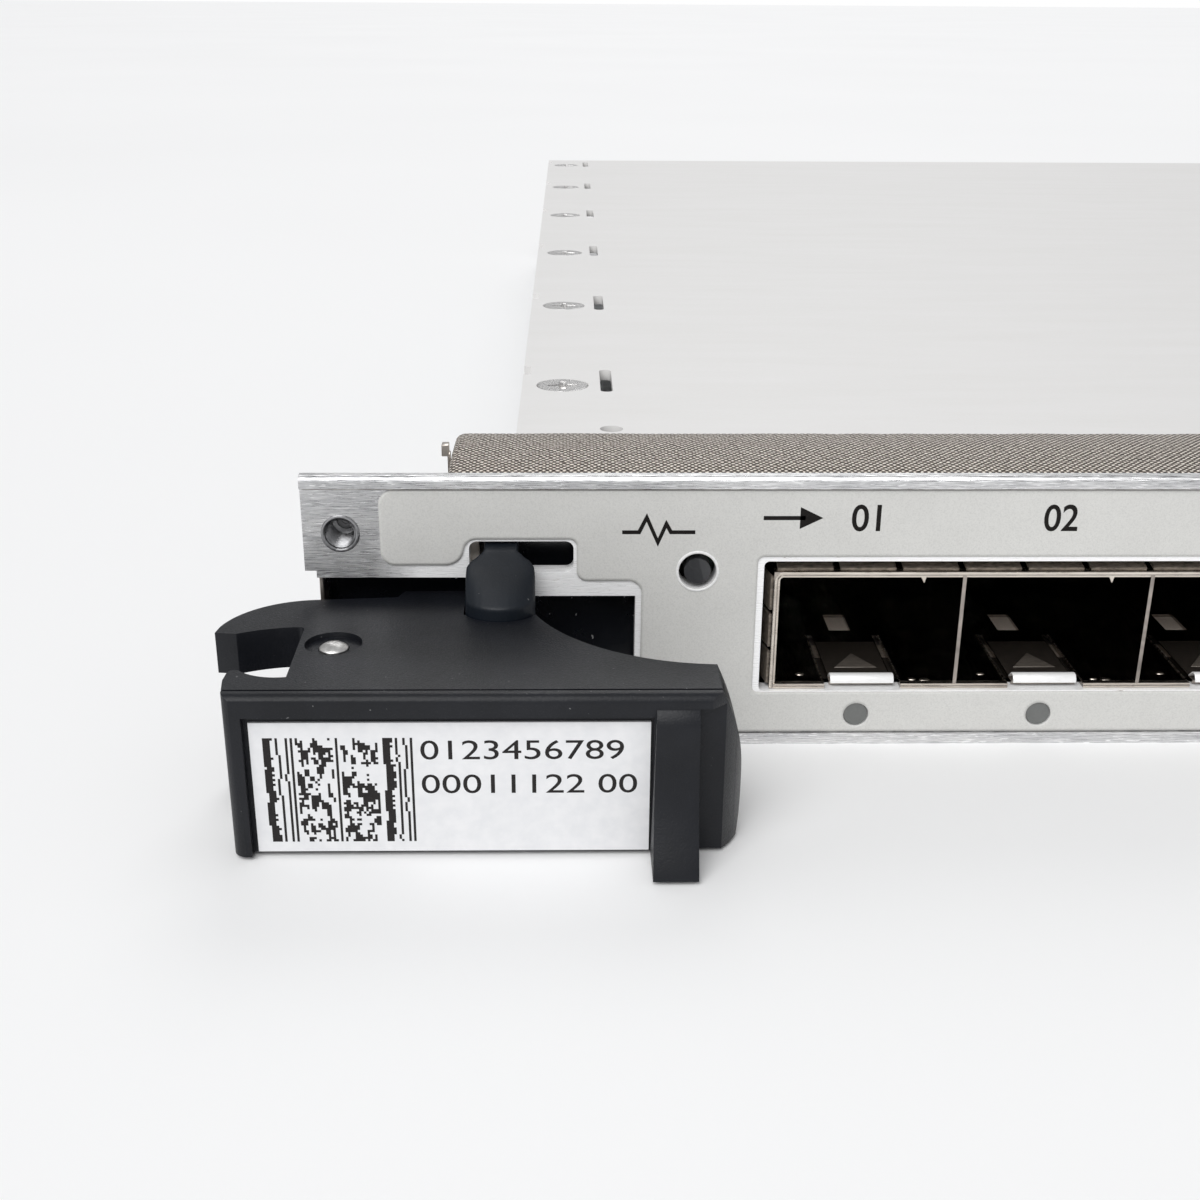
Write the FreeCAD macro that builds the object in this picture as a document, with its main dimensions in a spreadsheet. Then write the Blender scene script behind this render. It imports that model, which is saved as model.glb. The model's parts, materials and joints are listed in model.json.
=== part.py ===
# Plug-in optical line card: a flat metal chassis with a slim front panel, two
# ganged 1x4 cages for small pluggable transceivers, and an ejector handle with a
# press-down latch at each end.
#
# Everything is drawn in the panel's own frame (X=0 at the panel's left edge,
# Y=0 on its front face with +Y into the chassis, Z=0 at its bottom edge). Each
# finished piece is then placed so that the origin is the centre of the card's
# bounding box in X and Y, on the surface it lies on. All sizes are millimetres.
import FreeCAD, Part
import math
import os
import re
import Sketcher

V = FreeCAD.Vector
doc = FreeCAD.newDocument("line_card")
sheet = doc.addObject("Spreadsheet::Sheet", "sizes")

SIZES = {
    # front panel
    "panel_wide": 190.0, "panel_tall": 21.8, "panel_thick": 1.5, "rail_proud": 0.3,
    "top_rail": 0.98, "rebate_deep": 0.7, "low_rail": 0.93, "film_thick": 0.1,
    # chassis
    "card_deep": 228.0, "rear_reach": 230.0, "steel": 1.0, "tray_inset": 15.4,
    "flange_deep": 6.5, "cover_inset": 15.3, "cover_front": 12.4, "cover_top": 21.0,
    # gasket and the frame under it
    "gasket_inset": 10.4, "gasket_front": 2.8, "gasket_back": 12.2,
    "gasket_base": 19.6, "gasket_crown": 21.8,
    # pluggable module cages
    "port_pitch": 14.25, "port_first": 35.14, "cage_wall": 0.28, "cage_front": 0.37,
    "cage_deep": 48.5, "cage_floor": 4.5, "cage_roof": 14.1,
    # printed circuit board
    "board_low": 2.9, "board_thick": 1.6, "board_front": 10.5, "board_back": 226.0,
    # handle, hinge and latch
    "pivot_across": 3.2, "pivot_out": 8.4, "pin_rad": 1.04, "pin_play": 0.04,
    "pin_recess": 2.0, "handle_low": 0.3, "handle_top": 12.2, "claw_plate": 3.1,
    "grip_front": 17.0, "lip_front": 20.3, "latch_travel": 1.15,
    # small hardware
    "cover_screw_rad": 2.3, "cover_screw_pitch": 37.6, "cover_screw_first": 30.2,
    "insert_rad": 1.43, "insert_bore": 1.025, "insert_across": 2.78, "insert_up": 17.33,
    "lamp_rad": 0.92, "status_rad": 1.0,
}
for row, (alias, value) in enumerate(SIZES.items(), start=1):
    sheet.set("A%d" % row, alias)
    sheet.set("B%d" % row, str(value))
    sheet.setAlias("B%d" % row, alias)
doc.recompute()


def size(alias):
    """The number a cell of the sheet holds."""
    return float(sheet.get(alias))


def bound(formula):
    """A formula in plain aliases, written as an expression on the sheet."""
    return re.sub(r"[a-z][a-z_]*[a-z]", lambda word: "sizes." + word.group(0), str(formula))


def worth(formula):
    """The value of such a formula, for shapes that are set as a whole."""
    names = dict((alias, size(alias)) for alias in re.findall(r"[a-z][a-z_]*[a-z]", str(formula)))
    total = str(formula)
    for alias in sorted(names, key=len, reverse=True):
        total = re.sub(r"\b%s\b" % alias, repr(names[alias]), total)
    return float(FreeCAD.Units.Quantity(total).Value)


ORIGIN_X = -size("panel_wide") / 2
ORIGIN_Y = -(size("rear_reach") - size("lip_front")) / 2
HOME = FreeCAD.Placement(V(ORIGIN_X, ORIGIN_Y, 0), FreeCAD.Rotation())
nodes = []


def finish(piece, label):
    """Name a finished sub-part, place it in the card's frame and list it."""
    piece.Label = label
    piece.Placement = HOME
    nodes.append(piece)
    return piece


# ---------------------------------------------------------------- small helpers
def box(x0, x1, y0, y1, z0, z1):
    """A Part::Box between two corners, each a number or a formula of the sheet."""
    piece = doc.addObject("Part::Box", "box")
    lows = (x0, y0, z0)
    for prop, low, high in zip(("Length", "Width", "Height"), lows, (x1, y1, z1)):
        piece.setExpression(prop, "(%s) - (%s)" % (bound(high), bound(low)))
    for axis, low in zip("xyz", lows):
        piece.setExpression("Placement.Base." + axis, bound(low))
    return piece


def rod(x, y, z, radius, length, along="z"):
    """A Part::Cylinder that starts at a point and runs along +X, +Y or +Z."""
    turns = {"z": FreeCAD.Rotation(), "y": FreeCAD.Rotation(V(1, 0, 0), -90),
             "x": FreeCAD.Rotation(V(0, 1, 0), 90)}
    piece = doc.addObject("Part::Cylinder", "rod")
    piece.Placement = FreeCAD.Placement(V(), turns[along])
    piece.setExpression("Radius", bound(radius))
    piece.setExpression("Height", bound(length))
    for axis, start in zip("xyz", (x, y, z)):
        piece.setExpression("Placement.Base." + axis, bound(start))
    return piece


def fuse(pieces):
    """One solid from several that touch or overlap."""
    if len(pieces) == 1:
        return pieces[0]
    joined = doc.addObject("Part::MultiFuse", "join")
    joined.Shapes = pieces
    return joined


def cut(base, tools):
    """The base with every tool taken out of it."""
    result = doc.addObject("Part::Cut", "cut")
    result.Base = base
    result.Tool = fuse(tools)
    return result


def group(pieces):
    """Identical separate solids kept together as one node."""
    together = doc.addObject("Part::Compound", "group")
    together.Links = pieces
    return together


def shape_piece(shape):
    """A piece whose shape is computed as a whole."""
    piece = doc.addObject("Part::Feature", "shape")
    piece.Shape = shape
    return piece


def mirrored(piece, label):
    """The right-hand copy of a placed left-hand piece, across the card's middle."""
    copy = doc.addObject("Part::Mirroring", label)
    copy.Source = piece
    copy.Base = V(0, 0, 0)
    copy.Normal = V(1, 0, 0)
    copy.Label = label
    nodes.append(copy)
    return copy


def plane_of(body, role):
    """One of a body's own origin planes."""
    return next(item for item in body.Origin.OriginFeatures if item.Role == role)


def sketch_on(body, role, offset=0.0):
    """An empty sketch on an origin plane, moved along the plane's normal."""
    sketch = body.newObject("Sketcher::SketchObject", "sketch")
    sketch.AttachmentSupport = [(plane_of(body, role), "")]
    sketch.MapMode = "FlatFace"
    sketch.AttachmentOffset = FreeCAD.Placement(V(0, 0, offset), FreeCAD.Rotation())
    return sketch


def curves(path, height=0.0):
    """The lines and arcs of a closed outline of corners and (middle, end) arcs."""
    found, start = [], path[0]
    for step in path[1:] + [path[0]]:
        if isinstance(step[0], tuple):
            through, end = step
            found.append(Part.Arc(V(*start, height), V(*through, height), V(*end, height)))
        else:
            end = step
            if math.dist(start, end) > 1e-6:
                found.append(Part.LineSegment(V(*start, height), V(*end, height)))
        start = end
    return found


def draw(sketch, path):
    """Draw a closed outline in a sketch, and say which piece of it came first."""
    first = sketch.GeometryCount
    for curve in curves(path):
        sketch.addGeometry(curve, False)
    return first


def rectangle(sketch, x0, x1, y0, y1):
    """A rectangle held by four dimensions that follow the sheet."""
    corners = [(worth(x0), worth(y0)), (worth(x1), worth(y0)),
               (worth(x1), worth(y1)), (worth(x0), worth(y1))]
    first = draw(sketch, corners)
    for side in range(4):
        sketch.addConstraint(Sketcher.Constraint("Coincident", first + side, 2,
                                                 first + (side + 1) % 4, 1))
    for side, way in enumerate(("Horizontal", "Vertical", "Horizontal", "Vertical")):
        sketch.addConstraint(Sketcher.Constraint(way, first + side))
    for kind, point, formula in (("DistanceX", 1, x0), ("DistanceY", 1, y0)):
        index = sketch.addConstraint(
            Sketcher.Constraint(kind, -1, 1, first, point, worth(formula)))
        sketch.setExpression("Constraints[%d]" % index, bound(formula))
    for kind, line, low, high in (("DistanceX", first, x0, x1), ("DistanceY", first + 1, y0, y1)):
        index = sketch.addConstraint(
            Sketcher.Constraint(kind, line, 1, line, 2, worth(high) - worth(low)))
        sketch.setExpression("Constraints[%d]" % index, "(%s) - (%s)" % (bound(high), bound(low)))


def circle(sketch, x, y, radius):
    """A circle whose centre and radius follow the sheet."""
    item = sketch.addGeometry(
        Part.Circle(V(worth(x), worth(y), 0), V(0, 0, 1), worth(radius)), False)
    for kind, formula in (("DistanceX", x), ("DistanceY", y)):
        index = sketch.addConstraint(Sketcher.Constraint(kind, -1, 1, item, 3, worth(formula)))
        sketch.setExpression("Constraints[%d]" % index, bound(formula))
    index = sketch.addConstraint(Sketcher.Constraint("Radius", item, worth(radius)))
    sketch.setExpression("Constraints[%d]" % index, bound(radius))


def pad(body, sketch, length, backwards=False):
    """Grow a solid from a sketch."""
    feature = body.newObject("PartDesign::Pad", "pad")
    feature.Profile = sketch
    feature.setExpression("Length", bound(length))
    feature.Reversed = backwards
    return feature


def pocket(body, sketch, depth, backwards=False):
    """Cut a sketch into the solid, and stop if the cut took nothing away."""
    doc.recompute()
    before = body.Shape.Volume
    feature = body.newObject("PartDesign::Pocket", "pocket")
    feature.Profile = sketch
    feature.setExpression("Length", bound(depth))
    feature.Reversed = backwards
    doc.recompute()
    if not body.Shape.Volume < before:
        raise RuntimeError("a pocket cut nothing in " + body.Label)
    return feature


def new_body(name):
    return doc.addObject("PartDesign::Body", name)


def prism(path, z0, z1):
    """A solid raised from a closed outline of corners and (middle, end) arcs."""
    edges = [curve.toShape() for curve in curves(path, z0)]
    return Part.Face(Part.Wire(edges)).extrude(V(0, 0, z1 - z0))


def swept_profile(points, x0, x1):
    """A solid with one Y-Z outline, drawn across the card from x0 to x1."""
    wire = Part.makePolygon([V(x0, y, z) for y, z in points + [points[0]]])
    return Part.Face(wire).extrude(V(x1 - x0, 0, 0))


def rounded_rectangle(x0, x1, z0, z1, radius):
    """A rectangle's outline with arcs at its four corners."""
    reach = radius * (1 - math.sqrt(0.5))
    return [(x0 + radius, z0), (x1 - radius, z0), ((x1 - reach, z0 + reach), (x1, z0 + radius)),
            (x1, z1 - radius), ((x1 - reach, z1 - reach), (x1 - radius, z1)),
            (x0 + radius, z1), ((x0 + reach, z1 - reach), (x0, z1 - radius)),
            (x0, z0 + radius), ((x0 + reach, z0 + reach), (x0 + radius, z0))]


# ------------------------------------------------------------------ front panel
WIDE = size("panel_wide")
TALL = size("panel_tall")
WINDOW_RIGHT = 24.55        # inner end of the opening that the handle works in
WINDOW_TOP = 13.85
WINDOW_STEP = 12.36         # the opening is lower to the right of the latch
WINDOW_STEP_X = 15.5
TAB_BOTTOM = 14.4           # the end tab stops here, clear of the rack's own flange
NOTCH = 0.85
SLOT = (12.19, 19.92, 14.27, 16.70)      # the latch's slot: x0, x1, z0, z1
STATUS_LAMP = (29.15, 14.36)
STATUS_HOLE = 1.4
PORT_LAMP_UP = 2.45
PORT_LAMP_RIGHT = 6.68      # from a port's left wall to its lamp
CAGE_OPENING = (34.15, 93.14, 4.45, 15.1)
CAGE_FILM = (33.65, 93.64, 4.35, 15.5)


def flip(x):
    """The same place measured from the panel's right end."""
    return WIDE - x


def port_walls(side):
    """Where the five walls of a cage stand, from its outer end inwards."""
    walls = [size("port_first") + size("port_pitch") * n for n in range(5)]
    return walls if side == "left" else [flip(x) for x in walls]


def lamp_positions():
    """The middle of every port's lamp, left to right."""
    left = [size("port_first") + size("port_pitch") * n + PORT_LAMP_RIGHT for n in range(4)]
    right = [flip(size("port_first") + size("port_pitch") * (n + 1)) + PORT_LAMP_RIGHT
             for n in range(3, -1, -1)]
    return left + right


def turned_round(path):
    """A path of corners and (middle, end) arcs as it looks from the panel's other end."""
    return [tuple((flip(x), z) for x, z in step) if isinstance(step[0], tuple)
            else (flip(step[0]), step[1]) for step in path]


def mirrored_outlines(outline):
    """An outline and its copy at the panel's other end."""
    return [outline, turned_round(outline)]


panel = new_body("front_panel")
# The panel's elevation: a plate with a stepped opening at each lower corner.
left_end = [(WINDOW_RIGHT, 0), (WINDOW_RIGHT, WINDOW_STEP), (WINDOW_STEP_X, WINDOW_STEP),
            (WINDOW_STEP_X, WINDOW_TOP), (NOTCH, WINDOW_TOP), (NOTCH, TAB_BOTTOM),
            (0, TAB_BOTTOM), (0, TALL)]
right_end = [(flip(x), z) for x, z in reversed(left_end)]
face = sketch_on(panel, "XZ_Plane")
draw(face, left_end + right_end)
pad(panel, face, "panel_thick", backwards=True)
doc.recompute()
if panel.Shape.BoundBox.YMin < -0.01:
    raise RuntimeError("the panel grew forwards")


def panel_cut(outlines):
    """Cut outlines right through the panel."""
    sketch = sketch_on(panel, "XZ_Plane")
    for outline in outlines:
        draw(sketch, outline)
    feature = panel.newObject("PartDesign::Pocket", "opening")
    feature.Profile = sketch
    feature.Type = 1
    feature.Midplane = True
    before = panel.Shape.Volume
    doc.recompute()
    if not panel.Shape.Volume < before:
        raise RuntimeError("a panel opening cut nothing")


panel_cut(mirrored_outlines(rounded_rectangle(*SLOT, 0.6)))
panel_cut(mirrored_outlines(rounded_rectangle(*CAGE_OPENING, 0.4)))
lamps = sketch_on(panel, "XZ_Plane")
circle(lamps, STATUS_LAMP[0], STATUS_LAMP[1], STATUS_HOLE)
for x in (size("insert_across"), flip(size("insert_across"))):
    circle(lamps, x, "insert_up", "insert_rad")
for x in lamp_positions():
    circle(lamps, x, PORT_LAMP_UP, "lamp_rad + 0.05")
holes = panel.newObject("PartDesign::Pocket", "round_holes")
holes.Profile = lamps
holes.Type = 1
holes.Midplane = True
doc.recompute()
# Raised rails stiffen the top and bottom edges; the top one is a rounded bead.
low_rail = sketch_on(panel, "XZ_Plane")
rectangle(low_rail, WINDOW_RIGHT, "panel_wide - %s" % WINDOW_RIGHT, "0", "low_rail")
pad(panel, low_rail, "rail_proud")
bead = sketch_on(panel, "YZ_Plane")
BEAD_BACK = 0.62
proud, bead_low = size("rail_proud"), TALL - size("top_rail")
draw(bead, [(0.0, bead_low), (-proud, bead_low), (-proud, TALL - 0.45),
            ((-proud + 0.13, TALL - 0.13), (-proud + 0.45, TALL)), (BEAD_BACK, TALL),
            (BEAD_BACK, bead_low)])
pad(panel, bead, "panel_wide")
doc.recompute()
if panel.Shape.BoundBox.YMin > -0.01:
    raise RuntimeError("the rails did not stand proud")
# Behind the bead the plate is lower, so that the gasket reaches up to the bead.
rebate = sketch_on(panel, "YZ_Plane")
rectangle(rebate, BEAD_BACK, "panel_thick + 1", "panel_tall - rebate_deep", "panel_tall + 1")
step = panel.newObject("PartDesign::Pocket", "rebate")
step.Profile = rebate
step.Type = 1
step.Midplane = True
before = panel.Shape.Volume
doc.recompute()
if not panel.Shape.Volume < before:
    raise RuntimeError("the rebate cut nothing")
finish(panel, "front_panel")

# Printed film on the panel: one outline, open around the slots, cages and lamps.
film_left = [(25.0, 0.98), (25.0, 12.67), ((24.7, 13.3), (24.1, 13.6)), (21.0, 13.6),
             ((20.4, 13.8), (20.15, 14.4)), (20.15, 16.3), ((19.98, 16.72), (19.55, 16.88)),
             (12.7, 16.88), ((12.15, 16.65), (11.8, 16.0)), ((11.35, 15.2), (10.4, 14.85)),
             (6.9, 14.85), ((6.0, 15.15), (5.67, 16.0)), (5.67, 19.6), ((6.0, 20.35), (6.75, 20.68))]
film_right = turned_round(film_left)


def backwards(path):
    """The same open path walked from its end to its start."""
    turned, steps = [], list(reversed(path))
    for index, step in enumerate(steps):
        here = step[1] if isinstance(step[0], tuple) else step
        earlier = steps[index - 1] if index else None
        if earlier is not None and isinstance(earlier[0], tuple):
            turned.append((earlier[0], here))
        else:
            turned.append(here)
    return turned


film = new_body("panel_overlay")
film_face = sketch_on(film, "XZ_Plane")
draw(film_face, film_left + backwards(film_right))
for outline in mirrored_outlines(rounded_rectangle(*CAGE_FILM, 0.5)):
    draw(film_face, outline)
circle(film_face, STATUS_LAMP[0], STATUS_LAMP[1], STATUS_HOLE)
for x in lamp_positions():
    circle(film_face, x, PORT_LAMP_UP, "lamp_rad + 0.05")
pad(film, film_face, "film_thick")
doc.recompute()
finish(film, "panel_overlay")

# Threaded inserts pressed into the two end tabs.
inserts = []
for x in ("insert_across", "panel_wide - insert_across"):
    ring = rod(x, "0 - 0.15", "insert_up", "insert_rad", "4.0", "y")
    bore = rod(x, "0 - 0.2", "insert_up", "insert_bore", "3.45", "y")
    inserts.append(cut(ring, [bore]))
finish(group(inserts), "panel_inserts")

# ---------------------------------------------------- chassis tray, cover, frame
tray = new_body("chassis_tray")
# One folded sheet: floor, two side walls and two inward flanges for the cover.
floor = sketch_on(tray, "XY_Plane")
rectangle(floor, "tray_inset", "panel_wide - tray_inset", 1.6, "card_deep")
pad(tray, floor, "steel")
for x0, x1 in (("tray_inset", "tray_inset + steel"),
               ("panel_wide - tray_inset - steel", "panel_wide - tray_inset")):
    wall = sketch_on(tray, "XY_Plane")
    rectangle(wall, x0, x1, 12.4, "card_deep")
    pad(tray, wall, "cover_top - steel")
for x0, x1 in (("tray_inset", "tray_inset + flange_deep"),
               ("panel_wide - tray_inset - flange_deep", "panel_wide - tray_inset")):
    flange = sketch_on(tray, "XY_Plane", size("cover_top") - 2 * size("steel"))
    rectangle(flange, x0, x1, 12.4, "card_deep")
    pad(tray, flange, "steel")
doc.recompute()

SCREW_ROWS = [size("cover_screw_first") + size("cover_screw_pitch") * n for n in range(6)]
SCREW_X = 19.0
SCREW_SHANK = 1.25
flange_holes = sketch_on(tray, "XY_Plane", size("cover_top") - size("steel"))
for y in SCREW_ROWS:
    for x in (SCREW_X, flip(SCREW_X)):
        circle(flange_holes, x, y, SCREW_SHANK)
pocket(tray, flange_holes, "steel")
# Ventilation slots in both side walls.
vents = sketch_on(tray, "YZ_Plane")
for n in range(14):
    y = 22.0 + 14.6 * n
    draw(vents, rounded_rectangle(y, y + 8.0, 6.0, 8.4, 1.1))
    draw(vents, rounded_rectangle(y, y + 8.0, 11.0, 13.4, 1.1))
side_vents = tray.newObject("PartDesign::Pocket", "side_vents")
side_vents.Profile = vents
side_vents.Type = 1
side_vents.Midplane = True
before = tray.Shape.Volume
doc.recompute()
if not tray.Shape.Volume < before:
    raise RuntimeError("the side vents cut nothing")
finish(tray, "chassis_tray")

cover = new_body("top_cover")
lid = sketch_on(cover, "XY_Plane", size("cover_top") - size("steel"))
NOTCH_LONG, NOTCH_DEEP = 3.2, 0.7
edge_path = [(size("cover_inset"), size("cover_front"))]
for y in SCREW_ROWS:
    start = y + 4.2
    if start + NOTCH_LONG < size("card_deep"):
        edge_path += [(size("cover_inset"), start), (size("cover_inset") + NOTCH_DEEP, start),
                      (size("cover_inset") + NOTCH_DEEP, start + NOTCH_LONG),
                      (size("cover_inset"), start + NOTCH_LONG)]
edge_path.append((size("cover_inset"), size("card_deep")))
draw(lid, edge_path + [(flip(x), y) for x, y in reversed(edge_path)])
pad(cover, lid, "steel")
doc.recompute()
COVER_SLOT = (22.45, 23.55, 27.8, 36.2)     # a locating slot beside each screw
openings = sketch_on(cover, "XY_Plane", size("cover_top"))
for n, y in enumerate(SCREW_ROWS):
    for x in (SCREW_X, flip(SCREW_X)):
        circle(openings, x, y, SCREW_SHANK + 0.1)
    x0, x1, y0, y1 = COVER_SLOT
    step = size("cover_screw_pitch") * n
    if y1 + step < size("card_deep"):
        draw(openings, rounded_rectangle(x0, x1, y0 + step, y1 + step, 0.5))
        draw(openings, rounded_rectangle(flip(x1), flip(x0), y0 + step, y1 + step, 0.5))
for x in (23.1, flip(23.1)):
    circle(openings, x, 15.4, 0.95)
pocket(cover, openings, "steel")
sinks = sketch_on(cover, "XY_Plane", size("cover_top"))
for y in SCREW_ROWS:
    for x in (SCREW_X, flip(SCREW_X)):
        circle(sinks, x, y, "cover_screw_rad + 0.08")
pocket(cover, sinks, "0.75")
finish(cover, "top_cover")


def cross_recess(x, y, top, reach, wide, deep):
    """The cross-shaped driver recess in a screw's head."""
    arms = [box(x - reach, x + reach, y - wide, y + wide, top - deep, top + 1),
            box(x - wide, x + wide, y - reach, y + reach, top - deep, top + 1)]
    return arms


cover_screws = []
COVER_TOP = size("cover_top")
for y in SCREW_ROWS:
    for x in (SCREW_X, flip(SCREW_X)):
        head = rod(x, y, COVER_TOP - 0.75, "cover_screw_rad", "0.75")
        shank = rod(x, y, COVER_TOP - 4.0, SCREW_SHANK, "3.3")
        cover_screws.append(cut(fuse([head, shank]), cross_recess(x, y, COVER_TOP, 1.35, 0.3, 0.55)))
finish(group(cover_screws), "cover_screws")

# Folded frame behind the panel: it carries the gasket and ties panel to tray.
FRAME_STEEL = 0.8
frame_parts = [
    box("gasket_inset", "panel_wide - gasket_inset", "panel_thick", "gasket_back",
        "gasket_base - 0.8", "gasket_base"),
    box("gasket_inset", "panel_wide - gasket_inset", "panel_thick", "panel_thick + 0.8",
        17.2, "gasket_base - 0.5"),
]
LEG_X = 26.0
for x in (LEG_X, flip(LEG_X) - FRAME_STEEL):
    frame_parts.append(box(x, x + FRAME_STEEL, "panel_thick", "gasket_back",
                           "steel", "gasket_base - 0.5"))
    foot_x = x if x < WIDE / 2 else x - 5.0
    frame_parts.append(box(foot_x, foot_x + 5.0 + FRAME_STEEL, 3.0, 9.5,
                           "steel", "steel + 0.8"))
finish(fuse(frame_parts), "gasket_frame")

# The gasket: conductive fabric over foam, sloping up from the panel to a low crown.
crown = size("gasket_crown")
base = size("gasket_base")
y0, y1 = size("gasket_front"), size("gasket_back")
gasket_outline = [(y0, base), (y0, base + 1.2), (y0 + 0.5, base + 1.6), (y0 + 3.2, crown - 0.25),
                  (y0 + 4.8, crown), (y1 - 0.6, crown - 0.15), (y1, crown - 0.45), (y1, base)]
gasket = shape_piece(swept_profile(gasket_outline, size("gasket_inset") + 0.1,
                                   WIDE - size("gasket_inset") - 0.1))
finish(gasket, "emi_gasket")
clips = []
for post_x, tip_x in ((10.2, 9.75), (flip(10.2) - 0.2, flip(9.75) - 0.55)):
    clips.append(fuse([box(post_x, post_x + 0.2, 7.4, 8.4, "gasket_base - 0.8", 21.2),
                       box(tip_x, tip_x + 0.55, 7.4, 8.4, 21.0, 21.9)]))
finish(group(clips), "gasket_end_clips")

# --------------------------------------------------------- board and what it holds
board = new_body("main_board")
outline = sketch_on(board, "XY_Plane", size("board_low"))
BOARD_LEFT = 28.0
rectangle(outline, BOARD_LEFT, "panel_wide - %s" % BOARD_LEFT, "board_front", "board_back")
pad(board, outline, "board_thick")
doc.recompute()
STANDOFFS = [(x, y) for y in (58.0, 138.0, 219.0) for x in (32.5, 95.0, flip(32.5))]
fixings = sketch_on(board, "XY_Plane", size("board_low") + size("board_thick"))
for x, y in STANDOFFS:
    circle(fixings, x, y, 1.4)
pocket(board, fixings, "board_thick")
finish(board, "main_board")

BOARD_TOP = size("board_low") + size("board_thick")
standoffs, board_screws = [], []
for x, y in STANDOFFS:
    post = rod(x, y, "steel", 2.6, "board_low - steel")
    standoffs.append(cut(post, [rod(x, y, "steel", 1.25, "board_low")]))
    stem = rod(x, y, "steel + 0.1", 1.25, BOARD_TOP - size("steel"))
    head = rod(x, y, BOARD_TOP, 2.3, 1.5)
    board_screws.append(cut(fuse([stem, head]),
                            cross_recess(x, y, BOARD_TOP + 1.5, 1.3, 0.3, 0.8)))
finish(group(standoffs), "board_standoffs")
finish(group(board_screws), "board_screws")

# ------------------------------------------------------------ pluggable module cages
CAGE_BACK = size("cage_front") + size("cage_deep")
WALL = size("cage_wall")
FLOOR = size("cage_floor")
ROOF = size("cage_roof")
TONGUE_WIDE = 5.0
TONGUE_CUT = 5.9


def make_cage(side):
    """A folded 1x4 cage: floor, roof, walls, dividers and a latch tongue per port."""
    walls = port_walls(side)
    x0, x1 = min(walls), max(walls)
    sheets = [box(x0 - WALL / 2, x1 + WALL / 2, "cage_front", CAGE_BACK, FLOOR, FLOOR + WALL),
              box(x0 - WALL / 2, x1 + WALL / 2, "cage_front", CAGE_BACK, ROOF - WALL, ROOF),
              box(x0 - WALL / 2, x1 + WALL / 2, CAGE_BACK - WALL, CAGE_BACK, 10.6, ROOF)]
    for x in walls:
        sheets.append(box(x - WALL / 2, x + WALL / 2, "cage_front", CAGE_BACK, FLOOR, ROOF))
    holes = []
    for left in sorted(walls)[:-1]:
        middle = left + size("port_pitch") / 2
        # slots each side of the tongue, and the catch's window further back
        for sign in (-1, 1):
            inner = middle + sign * TONGUE_WIDE / 2
            outer = middle + sign * TONGUE_CUT / 2
            holes.append(box(min(inner, outer), max(inner, outer), 0, 10.0,
                             FLOOR - 1, FLOOR + 2 * WALL))
        holes.append(box(middle - 0.9, middle + 0.9, 11.0, 14.4, FLOOR - 1, FLOOR + 2 * WALL))
        holes.append(box(middle - TONGUE_CUT / 2, middle + TONGUE_CUT / 2, 0, 1.0,
                         FLOOR - 1, FLOOR + 2 * WALL))
        # the opening in the floor for the host connector
        holes.append(box(middle - 6.2, middle + 6.2, 34.0, CAGE_BACK + 1, FLOOR - 1, FLOOR + 2 * WALL))
        # ventilation holes in the roof
        for row in range(3):
            for column in range(7):
                holes.append(rod(middle + 3.6 * (row - 1), 14.0 + 4.2 * column, ROOF - 1, 1.1, 2))
    solid = cut(fuse(sheets), holes)
    doc.recompute()
    return solid


for side in ("left", "right"):
    finish(make_cage(side), "sfp_cage_" + side)


def spring_finger(outward):
    """The outline of one contact finger: outward is its rise from the cage's skin."""
    return [(0.75, 0.0), (0.75, 0.2), (3.4, outward), (6.6, 0.2), (6.6, 0.0), (3.4, outward - 0.2)]


def make_collar(side):
    """The springy collar around a cage's mouth that earths it to the panel."""
    walls = port_walls(side)
    x0, x1 = min(walls) - WALL / 2, max(walls) + WALL / 2
    skin = 0.12
    band = (6.3, 8.6)
    pieces = [Part.makeBox(x1 - x0 + 2 * skin, band[1] - band[0], ROOF - FLOOR + 2 * skin,
                           V(x0 - skin, band[0], FLOOR - skin)).cut(
        Part.makeBox(x1 - x0, band[1] - band[0], ROOF - FLOOR, V(x0, band[0], FLOOR)))]
    rise, pitch, gap = 0.72, 4.75, 0.55
    profile = [(y, up) for y, up in spring_finger(rise)]
    count = int((x1 - x0) // pitch)
    for n in range(count):
        left = x0 + gap / 2 + pitch * n
        top = Part.Face(Part.makePolygon([V(left, y, ROOF + up) for y, up in profile + profile[:1]]))
        pieces.append(top.extrude(V(pitch - gap, 0, 0)))
    for n in range(3):
        low = FLOOR + 0.3 + 3.05 * n
        for edge, way in ((x0, -1), (x1, 1)):
            side_face = Part.Face(Part.makePolygon(
                [V(edge + way * up, y, low) for y, up in profile + profile[:1]]))
            pieces.append(side_face.extrude(V(0, 0, 2.7)))
    return pieces[0].fuse(pieces[1:])


for side in ("left", "right"):
    finish(shape_piece(make_collar(side)), "cage_collar_" + side)


def port_middles():
    """The middle of every port, across both cages."""
    middles = []
    for side in ("left", "right"):
        walls = sorted(port_walls(side))
        middles += [(a + b) / 2 for a, b in zip(walls, walls[1:])]
    return middles


connectors = []
for x in port_middles():
    shell = box(x - 5.6, x + 5.6, 35.0, 44.0, BOARD_TOP, 9.9)
    mouth = box(x - 4.7, x + 4.7, 34.0, 40.5, 7.4, 8.7)
    connectors.append(cut(shell, [mouth]))
finish(group(connectors), "sfp_host_connectors")

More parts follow.
